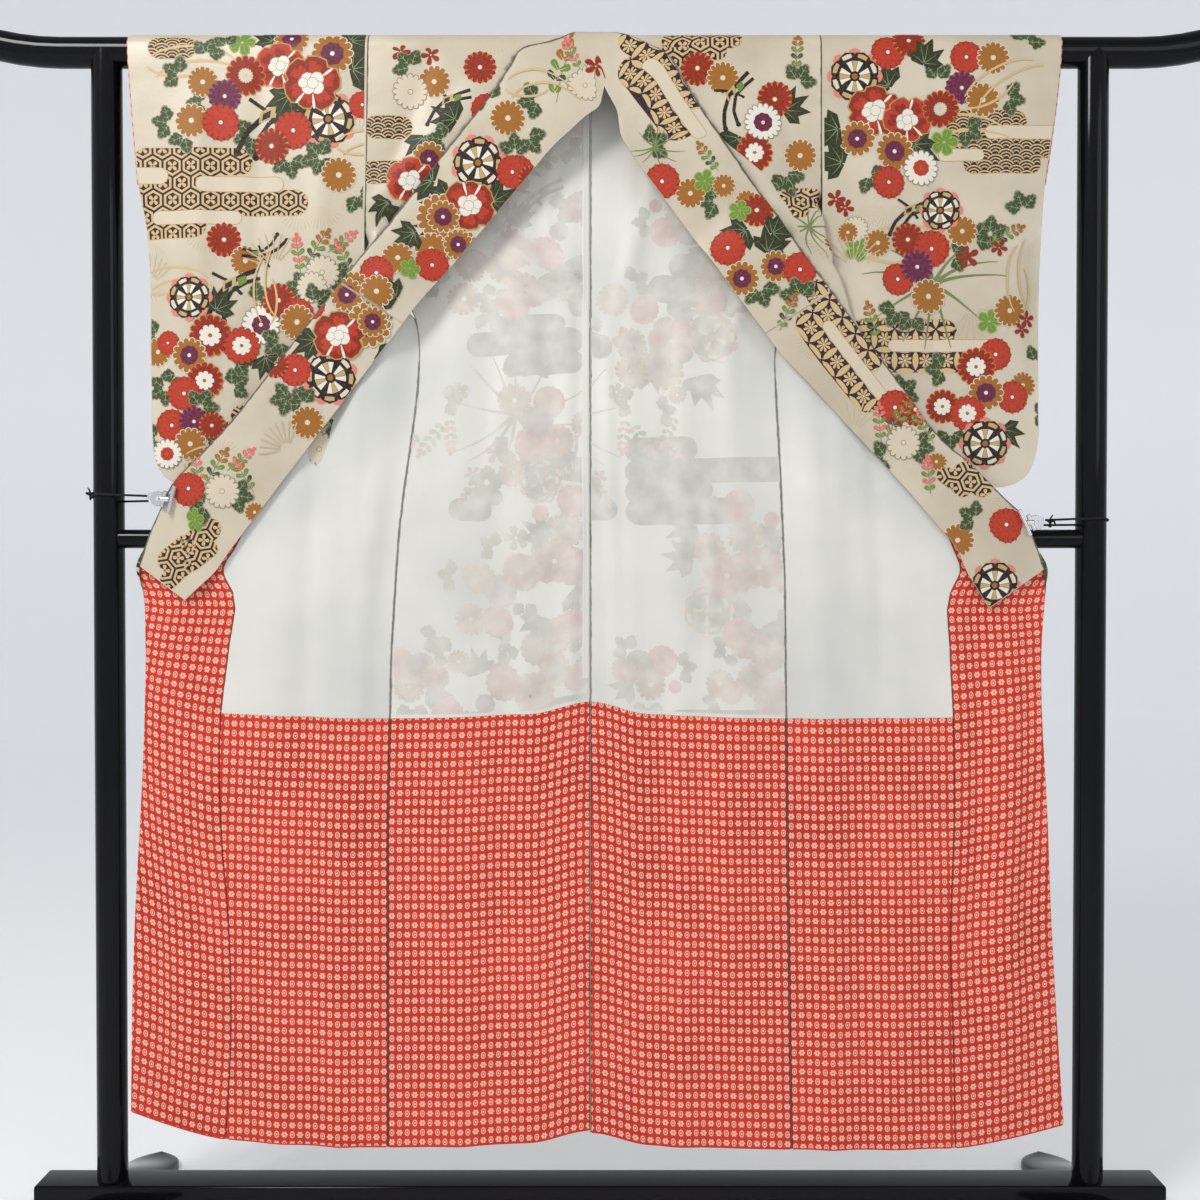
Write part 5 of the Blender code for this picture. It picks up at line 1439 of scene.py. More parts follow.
def make_fans():
    """Faint woven fans of thin rays, some left out."""
    tree, n, given, out = new_group("woven_fans", [
        ("Place", "Vector", None), ("Wide", "Float", 0.085), ("Rays", "Float", 34.0),
    ], "Mask", "Float")
    cell = n.put("VectorMath", {0: given["Place"], 3: n.math("DIVIDE", 1.0, given["Wide"])},
                 operation="SCALE").outputs[0]
    spot = n.put("TexVoronoi", {"Vector": cell, "Scale": 1.0, "Randomness": 0.75})
    away = n.put("VectorMath", {0: cell, 1: spot.outputs["Position"]}, operation="SUBTRACT").outputs[0]
    part = n.put("SeparateXYZ", {0: away}).outputs
    turn = n.math("ADD", n.math("ARCTAN2", part[1], part[0]), spot.outputs["Color"])
    reach = n.put("VectorMath", {0: away}, operation="LENGTH").outputs[1]
    ray = n.ramp(n.math("SINE", n.math("MULTIPLY", turn, given["Rays"])), 0.45, 0.85)
    half = n.ramp(n.math("SINE", turn), 0.0, 0.15)
    ring = n.ramp(reach, 0.42, 0.38)
    inner = n.ramp(reach, 0.07, 0.10)
    tree.links.new(n.math("MULTIPLY", n.math("MULTIPLY", ray, half), n.math("MULTIPLY", ring, inner)), out)
    return tree


def make_scatter():
    """Small six-petal flowers and ovals in turn, as on a chessboard."""
    tree, n, given, out = new_group("flower_and_oval_repeat", [
        ("Place", "Vector", None), ("Across", "Float", 0.0110), ("Along", "Float", 0.0136),
        ("Ground", "Color", (1, 0, 0, 1)), ("Motif", "Color", (1, 1, 1, 1)),
    ], "Color", "Color")
    part = n.put("SeparateXYZ", {0: given["Place"]}).outputs
    x, y = n.math("DIVIDE", part[0], given["Across"]), n.math("DIVIDE", part[1], given["Along"])
    column, row = n.math("FLOOR", x), n.math("FLOOR", y)
    odd = n.math("ABSOLUTE", n.math("MODULO", n.math("ADD", column, row), 2.0))
    fx = n.math("MULTIPLY", n.math("SUBTRACT", n.math("SUBTRACT", x, column), 0.5), 11.0)
    fy = n.math("MULTIPLY", n.math("SUBTRACT", n.math("SUBTRACT", y, row), 0.5), 13.6)
    reach = n.math("SQRT", n.math("ADD", n.math("MULTIPLY", fx, fx), n.math("MULTIPLY", fy, fy)))
    turn = n.math("ARCTAN2", fy, fx)
    petal_edge = n.math("MULTIPLY_ADD", n.math("ABSOLUTE", n.math("COSINE", n.math("MULTIPLY", turn, 3.0))),
                        1.5, 3.3)
    outer = n.ramp(n.math("SUBTRACT", petal_edge, reach), -0.25, 0.35)
    heart = n.ramp(reach, 0.9, 1.5)
    dot = n.ramp(reach, 0.65, 0.35)
    bloom = n.math("MAXIMUM", n.math("MULTIPLY", outer, heart), dot)
    ox, oy = n.math("DIVIDE", fx, 3.5), n.math("DIVIDE", fy, 5.0)
    oval_reach = n.math("SQRT", n.math("ADD", n.math("MULTIPLY", ox, ox), n.math("MULTIPLY", oy, oy)))
    rim = n.ramp(n.math("ABSOLUTE", n.math("SUBTRACT", oval_reach, 0.82)), 0.24, 0.12)
    seed = n.ramp(oval_reach, 0.42, 0.30)
    oval = n.math("MAXIMUM", rim, seed)
    mask = n.put("Mix", {0: odd, 2: bloom, 3: oval}).outputs[0]
    tree.links.new(n.blend(n.math("MULTIPLY", mask, 0.92), given["Ground"], given["Motif"]), out)
    return tree


def make_dust():
    """Faint dust and wiping marks in a gloss finish."""
    tree, n, given, out = new_group("finish_wear", [
        ("Place", "Vector", None), ("Least", "Float", 0.06), ("Most", "Float", 0.16),
    ], "Roughness", "Float")
    marks = n.put("TexNoise", {"Vector": given["Place"], "Scale": 9.0, "Detail": 5.0,
                               "Roughness": 0.6}).outputs[0]
    tree.links.new(n.ramp(marks, 0.35, 0.75, given["Least"], given["Most"]), out)
    return tree


def new_material(name):
    material = bpy.data.materials.new(name)
    material.use_nodes = True
    return material, Nodes(material.node_tree), material.node_tree.nodes["Principled BSDF"]


def set_values(node, **values):
    """Constant values of a node's inputs; an input's name is written with underlines for spaces."""
    for label, value in values.items():
        node.inputs[label.replace("_", " ")].default_value = value


def cloth_material(name, rough, sheen, shine, depth, colour_of, groups):
    """Silk: a colour made by colour_of(nodes, place), crepe bump and a soft sheen."""
    material, n, shader = new_material(name)
    place = n.put("UVMap", uv_map="cloth").outputs[0]
    n.tree.links.new(colour_of(n, place), shader.inputs["Base Color"])
    grain = n.put("Group", {"Place": place}, node_tree=groups["crepe"])
    bump = n.put("Bump", {"Strength": 0.35, "Distance": depth, "Height": grain.outputs[0]})
    n.tree.links.new(bump.outputs[0], shader.inputs["Normal"])
    set_values(shader, Roughness=rough, Sheen_Weight=sheen, Sheen_Roughness=0.45, Specular_IOR_Level=shine)
    return material


def painted_seam_shade(n, place, colour, dark):
    """Painted shade: an uneven dark line in seam grooves and under the collar's edge; the seam UV is 1 on a
    seam's edge.
    """
    part = n.put("SeparateXYZ", {0: n.put("UVMap", uv_map="seam").outputs[0]}).outputs
    # noise that makes the painted shade line wider and narrower along the seam
    shade_wobble = n.noise(place, 70.0)
    near = n.math("MULTIPLY_ADD", shade_wobble, 0.8, n.math("MAXIMUM", part[0], part[1]))
    return n.blend(n.ramp(near, 0.75, 1.10, 0.0, 0.88), colour, dark)


def toned(n, groups, place, ground, deeper, size=5.0):
    values = {"Place": place, "Ground": (*ground, 1.0), "Deeper": (*deeper, 1.0), "Size": size}
    return n.put("Group", values, node_tree=groups["tone"]).outputs[0]


def hard_material(name, colour, metal, least, most, groups):
    """Enamel, metal or cord: one colour, with a roughness between least and most."""
    material, n, shader = new_material(name)
    values = {"Place": n.put("TexCoord").outputs["Object"], "Least": least, "Most": most}
    wear = n.put("Group", values, node_tree=groups["dust"])
    n.tree.links.new(wear.outputs[0], shader.inputs["Roughness"])
    set_values(shader, Base_Color=(*colour, 1.0), Metallic=metal, Coat_Weight=0.0, Coat_Roughness=0.05,
               Specular_IOR_Level=0.5 if metal else 0.15)
    return material


def over_ink(n, noise, limits, colour):
    """The print's own ink, with a colour let in where the noise is high."""
    ink = n.put("Attribute", attribute_name="ink").outputs["Color"]
    return n.blend(n.ramp(noise, *limits), ink, colour)


def make_looks():
    groups = {"crepe": make_crepe(), "tone": make_tone(), "fans": make_fans(), "scatter": make_scatter(),
              "dust": make_dust()}

    def printed(n, place):
        ground = toned(n, groups, place, (0.63, 0.555, 0.425), (0.48, 0.415, 0.305))
        fans = n.put("Group", {"Place": place}, node_tree=groups["fans"])
        woven = n.blend(n.math("MULTIPLY", fans.outputs[0], 0.60), ground, (0.47, 0.365, 0.22, 1.0))
        # painted shade along the seams and beside the collar
        return painted_seam_shade(n, place, woven, (0.035, 0.025, 0.018, 1.0))

    def inked(n, place):
        return over_ink(n, n.noise(place, 260.0), (0.35, 0.75, 0.0, 0.10), (0.62, 0.36, 0.18, 1.0))

    def shown_through(n, place):
        return over_ink(n, n.noise(place, 30.0), (0.3, 0.7, 0.0, 0.6), (*WHITE_LINING, 1.0))

    def white(n, place):
        ground = toned(n, groups, place, WHITE_LINING, (0.585, 0.59, 0.56), 3.5)
        # painted shade along the seams
        return painted_seam_shade(n, place, ground, (0.13, 0.12, 0.10, 1.0))

    def red(n, place):
        ground = toned(n, groups, place, (0.61, 0.038, 0.021), (0.48, 0.026, 0.014), 6.0)
        values = {"Place": place, "Ground": ground, "Motif": (0.85, 0.50, 0.37, 1.0)}
        node = n.put("Group", values, node_tree=groups["scatter"])
        # painted shade along the seams
        return painted_seam_shade(n, place, node.outputs[0], (0.10, 0.008, 0.006, 1.0))

    made = {}
    # Look, material, roughness, sheen, shine, bump depth, colour
    for look_name, name, rough, sheen, shine, depth, colour_of in (
        ("print_cloth", "printed_silk", 0.40, 0.08, 0.50, 0.0004, printed),
        ("printed_ink", "print_inks", 0.46, 0.0, 0.18, 0.0004, inked),
        ("print_shadow", "print_through_lining", 0.50, 0.08, 0.30, 0.0003, shown_through),
        ("white_lining", "white_silk_lining", 0.50, 0.08, 0.30, 0.0003, white),
        ("red_lining", "red_silk_lining", 0.52, 0.05, 0.22, 0.0003, red),
    ):
        made[look_name] = cloth_material(name, rough, sheen, shine, depth, colour_of, groups)
    # Look, material, colour, metallic, least and most roughness
    for look_name, name, colour, metal, least, most in (
        ("black_enamel", "black_gloss_enamel", (0.004, 0.004, 0.005), 0.0, 0.07, 0.13),
        ("clip_metal", "bright_clip_metal", (0.72, 0.72, 0.74), 1.0, 0.16, 0.30),
        ("elastic_cord", "black_elastic_cord", (0.016, 0.014, 0.018), 0.0, 0.60, 0.80),
        ("pale_thread", "pale_thread", (0.80, 0.76, 0.68), 0.0, 0.55, 0.65),
    ):
        made[look_name] = hard_material(name, colour, metal, least, most, groups)
    return made


WHITE_LINING = (0.755, 0.735, 0.665)


# Rack
ROUND = 48
BAR_STEPS = 60
BAR_RIM = 0.003
RAIL_EDGE = 0.004
FOOT_STEPS = 14
FOOT_LEVEL = 0.035
KNOT_STEPS = 60
KNOT_RADIUS = 0.00135
KNOT_END_RADIUS = 0.0008


def ring_faces(rings, sides, caps=True):
    """Faces between rings of points that follow each other, with both ends capped or left open."""
    faces = [(i * sides + k, i * sides + (k + 1) % sides, (i + 1) * sides + (k + 1) % sides,
              (i + 1) * sides + k)
             for i in range(rings - 1) for k in range(sides)]
    ends = [tuple(range(sides)), tuple((rings - 1) * sides + k for k in range(sides))]
    return faces + ends if caps else faces


def tube(name, centres, radii, slot, replaced=(), sides=ROUND):
    """Tube round a line of points, its ends capped."""
    centres = [Vector(c) for c in centres]
    verts = []
    side = None
    for i, centre in enumerate(centres):
        ahead = centres[min(i + 1, len(centres) - 1)] - centres[max(i - 1, 0)]
        ahead.normalize()
        side = (ahead.orthogonal() if side is None else side - ahead * side.dot(ahead)).normalized()
        up = ahead.cross(side)
        for k in range(sides):
            t = 2 * math.pi * k / sides
            verts.append(centre + (side * math.cos(t) + up * math.sin(t)) * radii[i])
    return show(name, verts, ring_faces(len(centres), sides), slot, replaced)


def round_box(name, low, high, bevel, slot, replaced=()):
    shape = bmesh.new()
    xs, ys, zs = zip(low, high)
    for x in xs:
        for y in ys:
            for z in zs:
                shape.verts.new((x, y, z))
    shape.verts.ensure_lookup_table()
    for face in ((0, 1, 3, 2), (4, 6, 7, 5), (0, 4, 5, 1), (2, 3, 7, 6), (0, 2, 6, 4), (1, 5, 7, 3)):
        shape.faces.new([shape.verts[k] for k in face])
    bmesh.ops.bevel(shape, geom=shape.edges[:], offset=bevel, segments=4, profile=0.5, affect="EDGES")
    verts = [tuple(v.co) for v in shape.verts]
    faces = [[v.index for v in f.verts] for f in shape.faces]
    shape.free()
    return show(name, verts, faces, slot, replaced, sharp=30.0)


def build_foot(word, x):
    """Low cross foot: a long rounded shape that is higher in the middle."""
    ys = [FOOT_HALF_DEPTH * math.sin(math.pi / 2 * k / FOOT_STEPS)
          for k in range(-FOOT_STEPS, FOOT_STEPS + 1)]
    verts = []
    for y in ys:
        end = max(abs(y) - (FOOT_HALF_DEPTH - FOOT_HALF_WIDTH), 0.0) / FOOT_HALF_WIDTH
        half = max(FOOT_HALF_WIDTH * math.sqrt(max(1 - end * end, 0.0)), 0.004)
        share = min(max(abs(y) - FOOT_LEVEL, 0.0) / (FOOT_HALF_DEPTH - FOOT_LEVEL), 1.0)
        top = mix(FOOT_MID_TOP, FOOT_END_TOP, smooth(share))
        verts += [(x - half, y, 0.0), (x + half, y, 0.0)]
        for k in range(FOOT_STEPS + 1):
            a = math.pi * k / FOOT_STEPS
            verts.append((x + half * math.cos(a), y, top * (0.55 + 0.45 * math.sin(a) ** 0.7)))
    faces = ring_faces(len(ys), FOOT_STEPS + 3)
    show("cross_foot_" + word, verts, faces, "black_enamel", ["foot_" + word], sharp=40.0)


def build_rack():
    xs = [BAR_HALF * (2 * k / BAR_STEPS - 1) for k in range(BAR_STEPS + 1)]
    centres = [Vector(bar_centre(x)) for x in xs]
    radii = [BAR_R] * len(centres)
    for at, towards in ((0, 1), (-1, -2)):
        out = (centres[at] - centres[towards]).normalized()
        rounded = [(centres[at] + out * BAR_RIM * math.sin(a), BAR_R - BAR_RIM * (1 - math.cos(a)))
                   for a in (math.pi / 8, math.pi / 4, 3 * math.pi / 8, math.pi / 2)]
        if at == 0:
            centres = [c for c, _ in reversed(rounded)] + centres
            radii = [r for _, r in reversed(rounded)] + radii
        else:
            centres += [c for c, _ in rounded]
            radii += [r for _, r in rounded]
    tube("hanging_bar", centres, radii, "black_enamel", ["top_bar"])
    for side, word in SIDES:
        x = side * POST_X
        tube("upright_" + word, [(x, 0, RAIL_TOP), (x, 0, 0.6), (x, 0, 1.2), (x, 0, BAR_Z)], [BAR_R] * 4,
             "black_enamel", ["post_" + word])
        build_foot(word, x)
    tube("cross_rung", [(x, 0, RUNG_Z) for x in (-POST_X, 0, POST_X)], [RUNG_R] * 3, "black_enamel",
         ["rung"])
    round_box("floor_rail", (-RAIL_HALF, -RAIL_HALF_DEPTH, RAIL_BOTTOM),
              (RAIL_HALF, RAIL_HALF_DEPTH, RAIL_TOP), RAIL_EDGE, "black_enamel", ["base_rail"])


# Clips: two long jaws along the cloth's edge, a sprung barrel behind them and two round finger levers
JAW_LENGTH = 0.040
ROD_SIDES = 16
PLATE_SIDES = 28
JAW_FRONT = Vector((0, -0.0022, 0))
JAW_BEHIND = Vector((0, 0.0024, 0))
JAW_TILT = {LEFT: math.radians(14), RIGHT: math.radians(-24)}


def joined(name, pieces, slot, replaced=()):
    """One piece from several closed shells, each a list of points and faces."""
    verts, faces = [], []
    for points, own in pieces:
        start = len(verts)
        verts += points
        faces += [[start + k for k in face] for face in own]
    return show(name, verts, faces, slot, replaced, sharp=40.0)


def rod(start, end, radius):
    start, end = Vector(start), Vector(end)
    ahead = (end - start).normalized()
    a = ahead.cross(Vector((0, 1, 0))).normalized()
    b = ahead.cross(a)
    points = []
    for centre, r in ((start, radius * 0.7), (start + ahead * radius * 0.3, radius),
                      (end - ahead * radius * 0.3, radius), (end, radius * 0.7)):
        points += [centre + (a * math.cos(t) + b * math.sin(t)) * r
                   for t in [2 * math.pi * k / ROD_SIDES for k in range(ROD_SIDES)]]
    return points, ring_faces(4, ROD_SIDES)


def plate(centre, radius, depth, hole):
    """Round plate with a hole, facing the viewer."""
    points = []
    for y, r in ((-depth, radius * 0.95), (0.0, radius), (depth, radius * 0.95), (depth, hole),
                 (-depth, hole)):
        points += [Vector(centre) + Vector((r * math.cos(t), y, r * math.sin(t)))
                   for t in [2 * math.pi * k / PLATE_SIDES for k in range(PLATE_SIDES)]]
    return points, [tuple(k % len(points) for k in face) for face in ring_faces(6, PLATE_SIDES, False)]


def build_clip(side, word):
    jaw_x, jaw_z, end_x, end_z, _ = CLIPS[side]
    tilt = JAW_TILT[side]
    lean = Vector((math.sin(tilt), 0, math.cos(tilt)))
    jaw = Vector((jaw_x, CLIP_Y, jaw_z))
    tail = Vector((end_x, CLIP_Y, end_z))

    def bar_across(share, half, radius, shift=Vector((0, 0, 0))):
        """A rod across the clip at a share of the way from the jaws to the tail."""
        middle = mix(jaw, tail, share) if share else jaw
        return rod(middle - lean * half + shift, middle + lean * half + shift, radius)

    pieces = [
        bar_across(0, JAW_LENGTH / 2, 0.0024, JAW_FRONT), bar_across(0, JAW_LENGTH / 2, 0.0022, JAW_BEHIND),
        bar_across(0.35, 0.012, 0.0030), bar_across(0.50, 0.010, 0.0022),
        plate(mix(jaw, tail, 0.62), 0.0105, 0.0012, 0.0032),
        rod(mix(jaw, tail, 0.10), mix(jaw, tail, 0.50), 0.0042),
        plate(mix(jaw, tail, 0.90) + Vector((0, 0, 0.003)), 0.0052, 0.0009, 0.0030),
    ]
    joined("edge_clip_" + word, pieces, "clip_metal", ["clip_" + word])


def build_knot(side, word):
    """Overhand knot and two short ends beside the clip or behind the post."""
    post = Vector((side * (POST_X + BAR_R + 0.004), -0.004, CLIPS[side][4] + 0.004))
    tail = Vector((CLIPS[side][2] + side * 0.010, CLIP_Y + 0.002, CLIPS[side][3]))
    centre = post if side == LEFT else tail
    line = []
    for k in range(KNOT_STEPS + 1):
        t = 2 * math.pi * k / KNOT_STEPS * 1.15
        x = 0.0034 * math.sin(t) + 0.0026 * math.sin(2 * t)
        z = 0.0034 * math.cos(t) - 0.0028 * math.cos(2 * t)
        line.append(centre + Vector((x, 0.0022 * math.sin(3 * t), z)))
    line = [line[0] + Vector((side * 0.004, 0, 0.010)), line[0] + Vector((side * 0.001, 0, 0.006))] + line
    line += [line[-1] + Vector((side * 0.002, 0.001, -0.004)),
             line[-1] + Vector((side * 0.004, 0.001, -0.008))]
    radii = [KNOT_END_RADIUS] + [KNOT_RADIUS] * (len(line) - 2) + [KNOT_END_RADIUS]
    return tube("cord_knot_" + word, line, radii, "elastic_cord", (), 10)


# Camera at eye height of the cloth's middle
CAMERA_AT = (0.0, -1.8, 0.93)
CAMERA_LENS = 37.4
SENSOR_WIDTH = 36.0
CAMERA_TILT = math.radians(89.2)
ROW_FINE = 3
SHELL = 0.0004
# Widths of the painted shade along a panel's first and last edge, in metres: seam grooves and the collar's
# shadow on the fronts
NO_SHADE = (0.0002, 0.0002)
THIN_SHADE = 0.0014
SEAM_SHADE = 0.0034
COLLAR_SHADE = 0.0185
COLLAR_EDGE_SHADE = 0.0045
NECK_REACH = 40


def set_out(name, data):
    """A new object of the data, in the scene."""
    obj = bpy.data.objects.new(name, data)
    bpy.context.collection.objects.link(obj)
    return obj


def place_camera():
    data = bpy.data.cameras.new("camera")
    data.lens = CAMERA_LENS
    data.sensor_width = SENSOR_WIDTH
    camera = set_out("camera", data)
    camera.location = CAMERA_AT
    camera.rotation_euler = (CAMERA_TILT, 0.0, 0.0)
    bpy.context.scene.camera = camera


def show(name, verts, faces, slot, replaced=(), uvs=None, sharp=50.0):
    """A mesh piece on the root body, facing outwards; uvs holds maps by name, one pair per vertex."""
    mesh = bpy.data.meshes.new(name)
    mesh.from_pydata([tuple(float(c) for c in v) for v in verts], [], faces)
    for layer_name, values in (uvs or {}).items():
        layer = mesh.uv_layers.new(name=layer_name)
        loops = np.zeros(len(mesh.loops), dtype=np.int32)
        mesh.loops.foreach_get("vertex_index", loops)
        layer.data.foreach_set("uv", np.asarray(values, dtype=np.float32)[loops].ravel())
    shape = bmesh.new()
    shape.from_mesh(mesh)
    bmesh.ops.recalc_face_normals(shape, faces=shape.faces)
    shape.to_mesh(mesh)
    shape.free()
    mesh.polygons.foreach_set("use_smooth", [True] * len(mesh.polygons))
    mesh.set_sharp_from_angle(angle=math.radians(sharp))
    obj = set_out(name, mesh)
    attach(obj, "root")
    if replaced:
        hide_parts(*replaced)
    mesh.materials.append(LOOKS[slot])
    return obj


# Cords: the loop round the post, from angle to angle, and how far it rises and falls
LOOP_ANGLES = (math.radians(-77), math.radians(132))
LOOP_STEPS = 24
LOOP_RISE = 0.004


def cord_points(side):
    """The cord's route: from the clip's tail round the post and back to the clip."""
    _, _, end_x, end_z, z_post = CLIPS[side]
    loop = BAR_R + CORD_R + GAP
    points = [Vector((end_x + side * CORD_START, CLIP_Y, end_z + 0.003))]
    for k in range(LOOP_STEPS + 1):
        a = mix(*LOOP_ANGLES, k / LOOP_STEPS)
        lift = mix(LOOP_RISE, -LOOP_RISE, k / LOOP_STEPS)
        points.append(Vector((side * POST_X + side * loop * math.cos(a), loop * math.sin(a),
                              z_post + lift)))
    points.append(Vector((end_x + side * CORD_START, CLIP_Y + 0.0012, end_z - 0.004)))
    return points


def build_cords():
    for side, word in SIDES:
        points = cord_points(side)
        curve = bpy.data.curves.new("tie_cord_" + word, "CURVE")
        curve.dimensions = "3D"
        curve.bevel_depth = CORD_R
        curve.bevel_resolution = 4
        curve.use_fill_caps = True
        line = curve.splines.new("POLY")
        line.points.add(len(points) - 1)
        for point, place in zip(line.points, points):
            point.co = (*place, 1.0)
        obj = set_out("tie_cord_" + word, curve)
        curve.materials.append(LOOKS["elastic_cord"])
        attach(obj, "root")
        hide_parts("clip_cord_" + word)
        length = sum((b - a).length for a, b in zip(points, points[1:]))
        knot = build_knot(side, word)
        tuple(points[0])


# Cloth
def finer(grid, times):
    """Rows put between the given ones, on smooth lines through them."""
    p = np.concatenate([2 * grid[:1] - grid[1:2], grid, 2 * grid[-1:] - grid[-2:-1]])
    gap = np.maximum(np.linalg.norm(np.diff(p, axis=0), axis=-1, keepdims=True), 1e-6)
    slope = np.diff(p, axis=0) / gap
    tangent = (slope[:-1] * gap[1:] + slope[1:] * gap[:-1]) / (gap[:-1] + gap[1:])
    a, b, h = grid[:-1], grid[1:], gap[1:-1]
    m, n = tangent[:-1] * h, tangent[1:] * h
    between = []
    for k in range(times):
        t = k / times
        between.append((2 * t ** 3 - 3 * t ** 2 + 1) * a + (t ** 3 - 2 * t ** 2 + t) * m
                       + (3 * t ** 2 - 2 * t ** 3) * b + (t ** 3 - t ** 2) * n)
    return np.concatenate([np.stack(between, axis=1).reshape(-1, *grid.shape[1:]), grid[-1:]])


class Cloth:
    """A piece of cloth as a fine grid, its outward directions and the cloth's own lengths along it."""

    def __init__(self, grid, flip, narrow=None, seam=None, shade=NO_SHADE):
        self.grid = grid
        self.flip = flip
        self.narrow = narrow
        self.seam = seam
        self.shade = np.broadcast_to(np.asarray(shade, dtype=float), (len(grid), 2))
        self.measure()

    def measure(self):
        down = np.gradient(self.grid, axis=0)
        across = np.gradient(self.grid, axis=1)
        self.normal = unit(np.cross(unit(down), unit(across)) * self.flip)
        steps = np.linalg.norm(np.diff(self.grid, axis=1), axis=-1)
        self.u = np.concatenate([np.zeros((len(steps), 1)), np.cumsum(steps, axis=1)], axis=1)
        rows = np.linalg.norm(np.diff(self.grid, axis=0), axis=-1).mean(axis=1)
        self.v = np.concatenate([[0.0], np.cumsum(rows)])

    def part(self, first, last):
        narrow = None if self.narrow is None else self.narrow - first
        piece = Cloth.__new__(Cloth)
        piece.grid, piece.flip = self.grid[first:last + 1], self.flip
        piece.normal = self.normal[first:last + 1]
        piece.u, piece.v = self.u[first:last + 1], self.v[first:last + 1]
        piece.narrow, piece.seam, piece.shade = narrow, self.seam, self.shade[first:last + 1]
        return piece

    def width_at(self, row):
        """The cloth's width at a row of the grid."""
        if self.narrow is not None and row >= self.narrow:
            return self.u[row, self.seam]
        return self.u[row, -1]

    def crease(self, rows, margin=0.022):
        """Soft creases and swells along straight flat lines: ends in metres, half width and depth."""
        u, v = self.u, np.repeat(self.v[:, None], self.u.shape[1], axis=1)
        wide = np.array([self.width_at(r) for r in range(len(self.v))])[:, None]
        lift = np.zeros_like(u)
        for u0, v0, u1, v1, half, depth in rows:
            du, dv = u1 - u0, v1 - v0
            length = math.hypot(du, dv)
            t = np.clip(((u - u0) * du + (v - v0) * dv) / length ** 2, 0.0, 1.0)
            away = np.hypot(u - u0 - t * du, v - v0 - t * dv)
            lift += depth * np.exp(-(away / half) ** 2) * np.sin(np.pi * (0.12 + 0.76 * t)) ** 0.6
        edge = np.clip(np.minimum(u, wide - u) / margin, 0.0, 1.0) if margin else np.ones_like(u)
        ends = np.clip(np.minimum(v - v[:1], v[-1:] - v) / 0.03, 0.0, 1.0)
        calm = edge * edge * (3 - 2 * edge) * ends
        self.grid = self.grid + self.normal * (lift * calm)[..., None]
        self.measure()

    def flat(self):
        """Widest, longest and area of the flat cut, in metres."""
        wide = np.array([self.width_at(r) for r in range(len(self.v))])
        area = (np.diff(self.v) * (wide[1:] + wide[:-1]) / 2).sum()
        return float(wide.max()), float(self.v[-1] - self.v[0]), float(area)

    def at_width(self, row, u):
        """The point and outward direction at a flat distance across a row."""
        return (np.array([np.interp(u, self.u[row], self.grid[row, :, k]) for k in range(3)]),
                unit(np.array([np.interp(u, self.u[row], self.normal[row, :, k]) for k in range(3)])))

    def shell(self, name, low, slot, node, trims):
        """A thin closed wall that stands for a CAD node, from an offset of the grid to the print side."""
        grid = trim(self.grid, *trims)
        rows, columns = grid.shape[:2]
        cells = np.ones((rows - 1, columns - 1), dtype=bool)
        if self.narrow is not None:
            cells[max(self.narrow, 0):, self.seam:] = False
        used = np.zeros((rows, columns), dtype=bool)
        for a in (0, 1):
            for b in (0, 1):
                used[a:rows - 1 + a, b:columns - 1 + b] |= cells
        index = np.cumsum(used).reshape(rows, columns) - 1
        half = int(used.sum())
        verts = np.concatenate([(grid + self.normal * height)[used] for height in (low + SHELL, low)])
        v = np.repeat(self.v[:, None], columns, axis=1)
        wide = np.array([self.width_at(r) for r in range(rows)])[:, None]
        uv = np.stack([self.u, v], axis=-1)[used]
        # seam UV for the painted shade: 1 on an edge, falling to 0 over the shade's width
        seams = 1 - np.stack([self.u / self.shade[:, :1], (wide - self.u) / self.shade[:, 1:]],
                             axis=-1)[used]
        faces = []
        for r in range(rows - 1):
            for c in range(columns - 1):
                if not cells[r, c]:
                    continue
                a, b, d, e = [int(index[r + i, c + j]) for i in (0, 1) for j in (0, 1)]
                faces += [(a, b, e, d), (half + a, half + d, half + e, half + b)]
                if r == 0 or not cells[r - 1, c]:
                    faces.append((a, half + a, half + b, b))
                if r == rows - 2 or not cells[r + 1, c]:
                    faces.append((d, e, half + e, half + d))
                if c == 0 or not cells[r, c - 1]:
                    faces.append((a, d, half + d, half + a))
                if c == columns - 2 or not cells[r, c + 1]:
                    faces.append((b, half + b, half + e, e))
        uvs = {"cloth": np.concatenate([uv, uv]), "seam": np.concatenate([seams, seams])}
        return show(name, verts, faces, slot, [node], uvs)


def top_row(rows):
    """The fine grid's row on top of the bar."""
    return rows.index(("arc", 0.0)) * ROW_FINE


